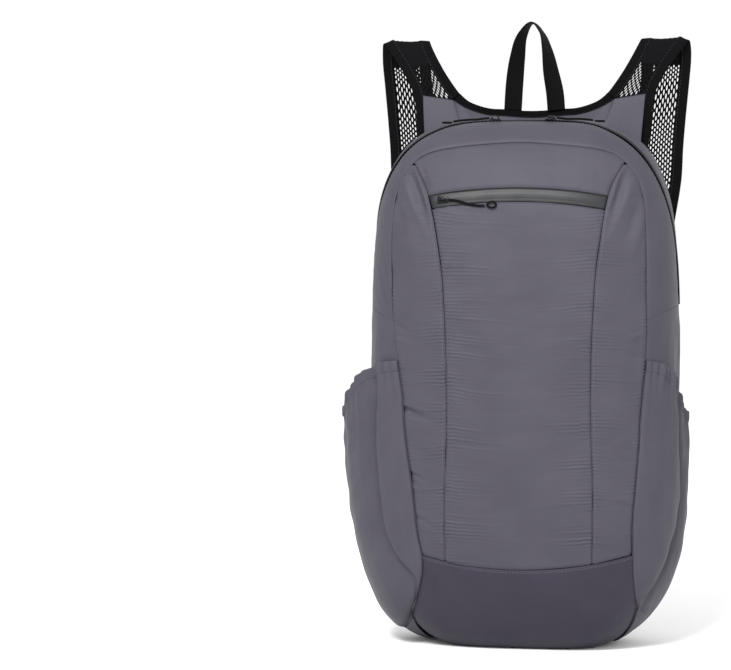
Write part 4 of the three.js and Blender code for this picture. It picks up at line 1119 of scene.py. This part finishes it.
def folds(cloth, table):
    """Soft folds: each row holds the start, the end, the breadth and the height in millimetres,
    with x and z for a place in the front view."""
    total = np.zeros(cloth.u.shape)
    for x0, z0, x1, z1, breadth, height in table:
        t, away = beside_line(cloth.x, cloth.z, (x0, z0), (x1, z1))
        total += height * np.sin(math.pi * np.clip(t, 0.08, 0.92)) * np.exp(-((away / breadth) ** 2))
    return total


# Folds in the upper corners, creases beside the puckered seams and wrinkles of the bottom panel
CORNER_FOLDS = [
    (-98, 392, -72, 338, 3.2, 1.5), (-92, 398, -70, 352, 2.6, -1.3), (-86, 402, -68, 352, 2.6, 1.3),
    (-104, 380, -84, 330, 3.5, -1.3), (-80, 400, -70, 372, 2.2, -1.0), (-96, 372, -82, 322, 3.0, 1.0),
    (96, 392, 76, 336, 3.2, 1.5), (90, 398, 74, 350, 2.6, -1.3), (84, 402, 74, 356, 2.4, 1.2),
    (101, 378, 86, 330, 3.4, -1.2), (104, 366, 92, 318, 3.0, 1.0),
]
SIDE_CREASES = [
    (-99, 201, -68, 190, 2.4, -1.3), (-100, 206, -72, 197, 2.8, 0.9), (-92, 148, -72, 141, 2.2, -1.0),
    (-92, 140, -76, 132, 2.2, 0.8), (-101, 268, -86, 262, 2.4, -0.9), (-101, 256, -88, 252, 2.0, 0.7),
    (-84, 112, -66, 104, 2.0, -0.7), (-100, 300, -96, 210, 2.2, 0.6), (104, 300, 99, 214, 2.2, 0.6),
    (98, 160, 78, 168, 2.4, 0.9), (97, 120, 80, 126, 2.0, -0.8), (101, 240, 88, 246, 2.4, -0.7),
    (103, 262, 90, 256, 2.2, 0.8),
]
BASE_CREASES = [
    (-62, 66, -66, 48, 1.8, -0.8), (-56, 66, -58, 52, 1.6, 0.7), (-50, 68, -51, 54, 1.5, -0.6),
    (-40, 69, -41, 56, 1.5, 0.5), (58, 66, 66, 46, 2.0, -0.8), (64, 62, 74, 44, 1.8, 0.8),
    (46, 68, 50, 54, 1.6, 0.5), (70, 56, 80, 40, 1.8, -0.7), (-8, 69, -9, 30, 1.4, 0.35),
    (4, 69, 4, 34, 1.4, -0.35), (20, 69, 19, 40, 1.6, 0.3), (-24, 69, -26, 44, 1.5, -0.35),
]


def add_front():
    cloth = Cloth(48, 560, front_panel, crowd_u=0.8)
    lift = puckers(cloth, cloth.left, seed=11, deep=1.2, shortest=9, longest=42)
    lift += puckers(cloth, cloth.right, seed=12, deep=1.0, shortest=6, longest=30)
    lift += 0.5 * ripple(13, cloth.x, cloth.z, 90) + 0.18 * ripple(14, cloth.x, cloth.z * 3, 60)
    lift += rolled(cloth, ("left", "right"), depth=0.9, reach=1.5)
    lift += rolled(cloth, ("low", "high"), depth=0.9, reach=1.6)
    cloth.raise_by(lift)
    sew("front_panel_cloth", cloth, GREY_NYLON, ["front_panel"])
    lines = [cloth.line("left", 2.0), cloth.line("right", 2.0)]
    stitch("front_panel_thread", lines, GREY_THREAD_PAINTED_HIGHLIGHT, 2.6, 0.4)

    cloth = Cloth(96, 40, upper_front_panel, 0.6, 0.6)
    lift = 0.35 * ripple(21, cloth.x, cloth.z, 70) + 0.1 * ripple(22, cloth.x * 3, cloth.z, 30)
    lift += rolled(cloth, ("left", "right", "low", "high"), depth=0.9, reach=1.4)
    lift += folds(cloth, CORNER_FOLDS) * 0.7
    cloth.raise_by(lift)
    sew("upper_front_cloth", cloth, GREY_NYLON, ["upper_front_panel"])

    for side, name in ((-1, "left"), (1, "right")):
        cloth = Cloth(24, 540, front_side_panel(side), crowd_u=0.7)
        inner = cloth.left if side > 0 else cloth.right
        outer = cloth.right if side > 0 else cloth.left
        fade = smooth((inner - 0.2) / 0.8)
        lift = puckers(cloth, inner, seed=31 + side, deep=1.05, shortest=9, longest=30) * fade
        lift += puckers(cloth, outer, seed=35 + side, deep=0.7, shortest=3, longest=12)
        lift += 1.35 * folds(cloth, CORNER_FOLDS) + 1.4 * folds(cloth, SIDE_CREASES)
        lift += 0.7 * ripple(37 + side, cloth.x * 1.6, cloth.z, 80)
        lift += rolled(cloth, ("left", "right"), depth=0.9, reach=1.5)
        lift += rolled(cloth, ("low",), depth=0.9, reach=1.6)
        cloth.raise_by(lift * smooth((cloth.high + 1) / 12))
        sew(f"front_side_cloth_{name}", cloth, GREY_NYLON, [f"front_side_panel_{name}"])
        edge = "left" if side > 0 else "right"
        stitch(f"front_side_thread_{name}", [cloth.line(edge, 2.2)], GREY_THREAD_PAINTED_HIGHLIGHT, 2.6, 0.4)

    cloth = Cloth(90, 90, bottom_panel, 0.6, 0.5)
    resting = smooth(cloth.z / 12)
    front = (cloth.points[..., 1] < 0) * resting
    lift = 1.5 * folds(cloth, BASE_CREASES) * front
    lift += 0.4 * ripple(41, cloth.x, cloth.points[..., 1], 60) * resting
    lift += rolled(cloth, ("low", "high", "left", "right"), depth=0.8, reach=1.5) * resting
    cloth.raise_by(lift)
    cloth.points[..., 2] = np.maximum(cloth.points[..., 2], 0)
    # The bottom panel's darker nylon is painted shade
    sew("bottom_panel_cloth", cloth, BASE_NYLON_PAINTED_SHADE, ["bottom_panel"])
    stitch("bottom_panel_thread", [cloth.line("low", 2.2)], GREY_THREAD_PAINTED_HIGHLIGHT, 3.0, 0.4)


def add_pocket_zip():
    cloth = Cloth(90, 16, pocket_zip, 0.4, 0.3)
    slit = np.abs(cloth.v - 0.45) * BAND_WIDTH
    lift = 0.35 * np.exp(-((slit / 1.6) ** 2)) - 0.55 * np.exp(-((slit / 0.35) ** 2))
    lift += rolled(cloth, ("left", "right", "high"), depth=0.8, reach=1.0)
    lift += 0.12 * ripple(51, cloth.x, cloth.z, 25)
    cloth.raise_by(lift)
    sew("pocket_zip_laminate", cloth, ZIP_LAMINATE, ["pocket_zip"])
    lines = [cloth.line("high", 0.7), cloth.line("low", 0.9)]
    stitch("pocket_zip_thread", lines, BLACK_THREAD, 2.0, 0.45)


GUSSET_TUCK = 1.5


def strip_relief(cloth, lift):
    """Fades a strip's relief at its ends, rolls its edges and tucks its ends under the sides."""
    ends = np.minimum(cloth.left, cloth.right)
    lift = lift * smooth(ends / 20) + rolled(cloth, ("low", "high"), depth=0.9, reach=1.4)
    return lift - 0.3 * (1 - smooth(ends / 3))


def add_gussets():
    front = top_strip(fore_of_seam, beside_zip(ZIP_HALF + SEAM_GAP), 0, GUSSET_TUCK)
    cloth = Cloth(200, 22, front, 0.2, 0.6)
    ends = np.minimum(cloth.left, cloth.right)
    lift = 0.4 * ripple(61, cloth.x, cloth.left * 0.3, 60)
    lift += 0.35 * ripple(62, cloth.left, cloth.low * 2, 16) * np.exp(-ends / 60)
    cloth.raise_by(strip_relief(cloth, lift))
    sew("gusset_front_cloth", cloth, GREY_NYLON, ["gusset_front"])
    stitch("gusset_front_thread", [cloth.line("high", 2.2)], GREY_THREAD_PAINTED_HIGHLIGHT)

    rear = top_strip(beside_zip(-ZIP_HALF - SEAM_GAP), back_seam, 0, GUSSET_TUCK)
    cloth = Cloth(200, 28, rear, 0.2, 0.6)
    cloth.raise_by(strip_relief(cloth, 0.5 * ripple(63, cloth.left, cloth.low, 55)))
    sew("gusset_rear_cloth", cloth, GREY_NYLON, ["gusset_rear"])
    stitch("gusset_rear_thread", [cloth.line("low", 2.2)], GREY_THREAD_PAINTED_HIGHLIGHT)


COIL_PITCH = 1.5


def add_main_zip():
    place = top_strip(beside_zip(ZIP_HALF), beside_zip(-ZIP_HALF), 0.5)
    cloth = Cloth(240, 8, place)
    cloth.raise_by(-0.3 * np.exp(-((cloth.v - 0.5) / 0.12) ** 2))
    sew("main_zip_tape", cloth, BLACK_BINDING, ["main_zip"])
    coil = Cloth(1800, 5, place)
    tooth = np.abs(np.cos(math.pi * coil.left / COIL_PITCH))
    round_over = np.sqrt(np.maximum(0, 1 - ((coil.v - 0.5) / 0.42) ** 2))
    coil.raise_by(0.95 * round_over * (0.45 + 0.55 * tooth) - 0.35)
    sew("main_zip_coil", coil, ZIP_COIL, thickness=0.3)


# A slider's body and bridge, as shares of its height and width
SLIDER_BODY, SLIDER_TAPER = 0.42, 0.72
BRIDGE_FOOT, BRIDGE_SQUASH = 0.4, 0.5
BRIDGE_SECTION = (0.0011, 0.0022)


def slider_shape(basis):
    """A slider: a bevelled body, narrower at its nose, and an arched bridge that holds the pull."""
    bm = bmesh.new()
    length, width, height = (value / 1000 for value in (SLIDER_LENGTH, SLIDER_WIDTH, SLIDER_HEIGHT))
    body = bmesh.ops.create_cube(bm, size=1, matrix=Matrix.Diagonal((length, width, height * SLIDER_BODY, 1)))
    for vert in body["verts"]:
        vert.co.z += height * SLIDER_BODY / 2
        if vert.co.x > 0:
            vert.co.y *= SLIDER_TAPER
    bmesh.ops.bevel(
        bm, geom=bm.edges[:], offset=0.0006, segments=3, profile=0.5, affect="EDGES", material=-1,
        clamp_overlap=True,
    )
    start = Vector((-length * 0.32, 0, height * BRIDGE_FOOT))
    post = bmesh.ops.create_grid(
        bm, x_segments=1, y_segments=1, size=0.5,
        matrix=Matrix.Translation(start) @ Matrix.Diagonal((*BRIDGE_SECTION, 1, 1)),
    )
    face = post["verts"][0].link_faces[0]
    spun = bmesh.ops.spin(
        bm, geom=[face, *face.edges, *face.verts], cent=Vector((0, 0, height * BRIDGE_FOOT)), axis=(0, 1, 0),
        angle=math.pi, steps=12, use_merge=False, use_duplicate=False,
    )
    reached = {item for item in spun["geom_last"] if isinstance(item, bmesh.types.BMVert)}
    while True:
        more = {edge.other_vert(vert) for vert in reached for edge in vert.link_edges} - reached
        if not more:
            break
        reached |= more
    for vert in reached:
        vert.co.z = height * BRIDGE_FOOT + (vert.co.z - height * BRIDGE_FOOT) * BRIDGE_SQUASH
    bmesh.ops.recalc_face_normals(bm, faces=bm.faces)
    bmesh.ops.transform(bm, matrix=basis, verts=bm.verts)
    return bm


def seat(point, along, normal):
    """A matrix at a point with X along a line and Z along a normal."""
    normal = Vector(normal).normalized()
    side = normal.cross(Vector(along)).normalized()
    ahead = side.cross(normal).normalized()
    basis = Matrix((ahead, side, normal)).transposed().to_4x4()
    basis.translation = Vector(placed(point))
    return basis


def add_sliders():
    for side, name in ((-1, "left"), (1, "right")):
        turn = side * math.atan(SLIDER_OFFSET / (BODY_HEIGHT - WIDEST_HEIGHT))
        tilt = float(zip_tilt(turn))
        foot = lifted(turn, tilt, ZIP_THICK / 2 + SLIDER_LIFT)
        normal = lifted(turn, tilt, 1) - skin(turn, tilt)
        along = skin(turn + 0.01, tilt) - skin(turn - 0.01, tilt)
        bm = slider_shape(seat(foot, along * side, normal))
        new_piece(f"zip_slider_metal_{name}", bm, SLIDER_ENAMEL, [f"zip_slider_{name}"])
    x = POCKET_SLIDER_PLACE
    z = band_top(x) - BAND_WIDTH / 2
    along = front_face(x + 1, z) - front_face(x - 1, z)
    normal = np.cross(along, front_face(x, z + 1) - front_face(x, z - 1))
    bm = slider_shape(seat(front_face(x, z) + unit(normal) * SLIDER_LIFT, along, normal))
    new_piece("pocket_slider_metal", bm, SLIDER_ENAMEL, ["pocket_slider"])


def add_sides():
    for side, name in ((-1, "left"), (1, "right")):
        cloth = Cloth(100, 50, side_panel(side), 0.3, 0.6)
        depth = cloth.points[..., 1]
        lift = 1.2 * ripple(71 + side, depth * 1.8, cloth.z * 0.5, 60)
        lift += 0.35 * ripple(74 + side, depth * 2, cloth.z, 26)
        ends = np.minimum(cloth.left, cloth.right)
        lift *= smooth(cloth.low / 14) * smooth(cloth.high / 14) * smooth(ends / 20)
        lift += rolled(cloth, ("low", "high"), depth=0.9, reach=1.5)
        cloth.raise_by(lift)
        sew(f"side_cloth_{name}", cloth, GREY_NYLON, [f"side_panel_{name}"])

        cloth = Cloth(140, 120, side_pocket(side), 0.2, 0.35)
        cloth.raise_by(rolled(cloth, ("low", "high"), depth=0.6, reach=1.5))
        cloth.points[..., 2] = np.maximum(cloth.points[..., 2], 0)
        sew(f"side_pocket_cloth_{name}", cloth, GREY_NYLON, [f"side_pocket_{name}"])
        tape(
            f"pocket_hem_cloth_{name}", pocket_hem(side), 240, HEM_THICK, GREY_NYLON,
            [f"pocket_hem_{name}"], around=28, roundness=0.6,
        )


def add_back():
    cloth = Cloth(70, 90, back_panel)
    edge = np.minimum(np.minimum(cloth.left, cloth.right), np.minimum(cloth.low, cloth.high))
    lift = 0.9 * ripple(91, cloth.x, cloth.z, 80) * smooth(edge / 25)
    lift += rolled(cloth, ("left", "right", "low", "high"), depth=0.9, reach=1.6)
    cloth.raise_by(lift)
    cloth.points[..., 2] = np.maximum(cloth.points[..., 2], 0)
    sew("back_panel_cloth", cloth, GREY_NYLON, ["back_panel"])

    cloth = Cloth(160, 34, yoke)
    lift = 0.8 * ripple(95, cloth.x, cloth.z, 45) * smooth(cloth.low / 8) * smooth(cloth.high / 8)
    cloth.raise_by(lift)
    sew("yoke_cloth", cloth, GREY_NYLON, ["yoke"])


THREAD_LIFT = 0.05


def tape_stitches(place, rows, spot, thickness):
    """Stitch lines on both faces of a tape, at a share of its width."""
    levels = np.linspace(0.004, 0.996, rows)
    across = np.full(rows, spot)
    normals = facing(place, across, levels, 1e-3)
    return [
        (place(across, levels) + normals * THREAD_LIFT, normals),
        (place(across, levels) - normals * (thickness + THREAD_LIFT), -normals),
    ]


NET_PITCH = 4.3
NET_RISE = 7.0
NET_STRAND = 1.15
NET_STRETCH = 1.55
NET_CLOSED_ABOVE = STRAP_TOP - 22
NET_COLUMNS = 6
STRAP_LENGTH = 455
CLASP_CORNER, CLASP_RIM = 0.005, 0.0009


def net_mesh(place, columns, rows):
    """A knitted net: staggered lozenge openings, stretched along the strap. Over the strap's fold
    the knit is pulled shut."""
    bm = bmesh.new()
    bmesh.ops.create_grid(bm, x_segments=columns, y_segments=rows, size=0.5)
    first = bm.edges[:]
    bmesh.ops.poke(bm, faces=bm.faces)
    inner = [edge for edge in first if edge.is_valid and not edge.is_boundary]
    bmesh.ops.dissolve_edges(bm, edges=inner, use_verts=False)
    width, length = columns * NET_PITCH, rows * NET_RISE
    for vert in bm.verts:
        vert.co.x *= width
        vert.co.y *= length
    openings = [face for face in bm.faces if len(face.verts) == 4]
    bmesh.ops.inset_individual(bm, faces=bm.faces, thickness=NET_STRAND, depth=0)
    layer = bm.loops.layers.uv.new("cloth")
    for face in bm.faces:
        for loop in face.loops:
            loop[layer].uv = loop.vert.co.xy / 1000
    middles = [face.calc_center_median() for face in openings]
    for face, middle in zip(openings, middles):
        for vert in face.verts:
            vert.co.y = middle.y + (vert.co.y - middle.y) * NET_STRETCH
    heights = place(
        np.array([middle.x / width + 0.5 for middle in middles]),
        np.array([middle.y / length + 0.5 for middle in middles]),
    )[:, 2]
    cut = [face for face, height in zip(openings, heights) if height < NET_CLOSED_ABOVE]
    bmesh.ops.delete(bm, geom=cut, context="FACES")
    u = np.array([vert.co.x / width + 0.5 for vert in bm.verts])
    v = np.array([vert.co.y / length + 0.5 for vert in bm.verts])
    for vert, point in zip(bm.verts, placed(place(u, v))):
        vert.co = point
    return bm


def add_straps():
    for side, name in ((-1, "left"), (1, "right")):
        inner, outer, web = sided(inner_binding, side), sided(outer_binding, side), sided(strap_net, side)
        for edge, place, rows in (("inner", inner, 220), ("outer", outer, 240)):
            tape(
                f"{edge}_binding_tape_{name}", place, rows, BINDING_THICK, BLACK_BINDING,
                [f"strap_{edge}_binding_{name}"],
            )
        near, far = (0.82, 0.18) if side > 0 else (0.18, 0.82)
        lines = tape_stitches(inner, 240, near, BINDING_THICK) + tape_stitches(outer, 240, far, BINDING_THICK)
        stitch(f"strap_thread_{name}", lines, BLACK_THREAD)
        bm = net_mesh(web, NET_COLUMNS, round(STRAP_LENGTH / NET_RISE))
        piece = new_piece(f"strap_net_knit_{name}", bm, BLACK_NET, [f"strap_net_{name}"])
        round_off = piece.modifiers.new("round", "SUBSURF")
        round_off.levels = round_off.render_levels = 1
        wall_in(piece, NET_THICK)
    add_neck_binding()
    tape("haul_loop_webbing", haul_loop, 140, LOOP_THICK, BLACK_WEBBING, ["haul_loop"])


def add_neck_binding():
    """The neckline's tape runs across the bag, so its surface is turned a quarter."""
    def turned(u, v):
        return neck_binding(1 - v, u)
    tape("neck_binding_tape", turned, 180, BINDING_THICK, BLACK_BINDING, ["neck_binding"])
    lines = tape_stitches(turned, 220, 0.22, BINDING_THICK)
    stitch("neck_binding_thread", lines, BLACK_THREAD)


def add_strap_ends():
    for side, name in ((-1, "left"), (1, "right")):
        flip = np.array([side, 1, 1])
        end = np.array([1.0])
        inner, outer = INNER_LINE.at(end)[0] * flip, OUTER_LINE.at(end)[0] * flip
        along = unit(lerp(INNER_LINE.along(end)[0], OUTER_LINE.along(end)[0], 0.5) * flip)
        across = unit((outer - inner) * side)
        normal = unit(np.cross(along, across))
        middle = lerp(inner, outer, 0.5)
        bm = bmesh.new()
        size = (ADJUSTER_LENGTH / 1000, ADJUSTER_WIDTH / 1000, ADJUSTER_THICK / 1000)
        bmesh.ops.create_cube(bm, size=1, matrix=Matrix.Diagonal((*size, 1)))
        for upright, offset, segments in ((True, CLASP_CORNER, 5), (False, CLASP_RIM, 3)):
            edges = [
                edge for edge in bm.edges
                if (abs(edge.verts[0].co.z - edge.verts[1].co.z) > 0.001) == upright
            ]
            bmesh.ops.bevel(
                bm, geom=edges, offset=offset, segments=segments, profile=0.5, affect="EDGES", material=-1,
            )
        seat_point = middle + along * (ADJUSTER_LENGTH / 2 + END_GAP)
        bmesh.ops.transform(bm, matrix=seat(seat_point, along, normal), verts=bm.verts)
        bmesh.ops.recalc_face_normals(bm, faces=bm.faces)
        new_piece(f"strap_clasp_{name}", bm, CLASP_PLASTIC, [f"strap_adjuster_{name}"])
        start = middle + along * (ADJUSTER_LENGTH + 2 * END_GAP)
        lead = start + along * WEBBING_WIDTH / 2
        anchor = lifted(side * math.radians(ANCHOR_TURN), math.radians(ANCHOR_TILT), ANCHOR_LIFT)
        knee = lerp(lead, anchor, 0.6)
        knee[1] = lerp(start[1], anchor[1], 0.25)
        line = Route([start, lead, knee, anchor])

        def webbing(u, v):
            return line.beside(v, SIDEWAYS, WEBBING_WIDTH * (0.5 - u))
        tape(
            f"lower_webbing_tape_{name}", webbing, 60, WEBBING_THICK, BLACK_WEBBING,
            [f"lower_webbing_{name}"],
        )


FLOOR_RADIUS = 40
LIGHT_AIM = (0, 0, 0.25)
# Lamps: place, size in metres and power in watts
LAMPS = {
    "key_light": ((-0.5, -2.2, 2.3), 0.8, 105),
    "fill_light": ((1.6, -2.0, 1.2), 1.4, 18),
}


def add_studio():
    """A white floor under a white sky, a high lamp in front and a weak one at the right."""
    bm = bmesh.new()
    bmesh.ops.create_circle(bm, cap_ends=True, segments=64, radius=FLOOR_RADIUS)
    floor = bpy.data.objects.new("floor", to_mesh(bm, "floor"))
    bpy.context.scene.collection.objects.link(floor)
    paint = finish("matt_white_floor", {
        "Base Color": (1, 1, 1, 1), "Roughness": 1, "Specular IOR Level": 0,
    })[0]
    floor.data.materials.append(paint)
    world = bpy.data.worlds.new("studio")
    bpy.context.scene.world = world
    world.use_nodes = True
    sky = world.node_tree.nodes["Background"]
    sky.inputs["Color"].default_value = (1, 1, 1, 1)
    sky.inputs["Strength"].default_value = 1.0
    for name, (place, size, power) in LAMPS.items():
        data = bpy.data.lights.new(name, "AREA")
        data.size = size
        data.energy = power
        light = bpy.data.objects.new(name, data)
        bpy.context.scene.collection.objects.link(light)
        light.location = place
        light.rotation_euler = (Vector(place) - Vector(LIGHT_AIM)).to_track_quat("Z", "Y").to_euler()
    bpy.context.scene.view_settings.view_transform = "Standard"


add_front()
add_pocket_zip()
add_gussets()
add_main_zip()
add_sliders()
add_sides()
add_back()
add_straps()
add_strap_ends()
add_studio()
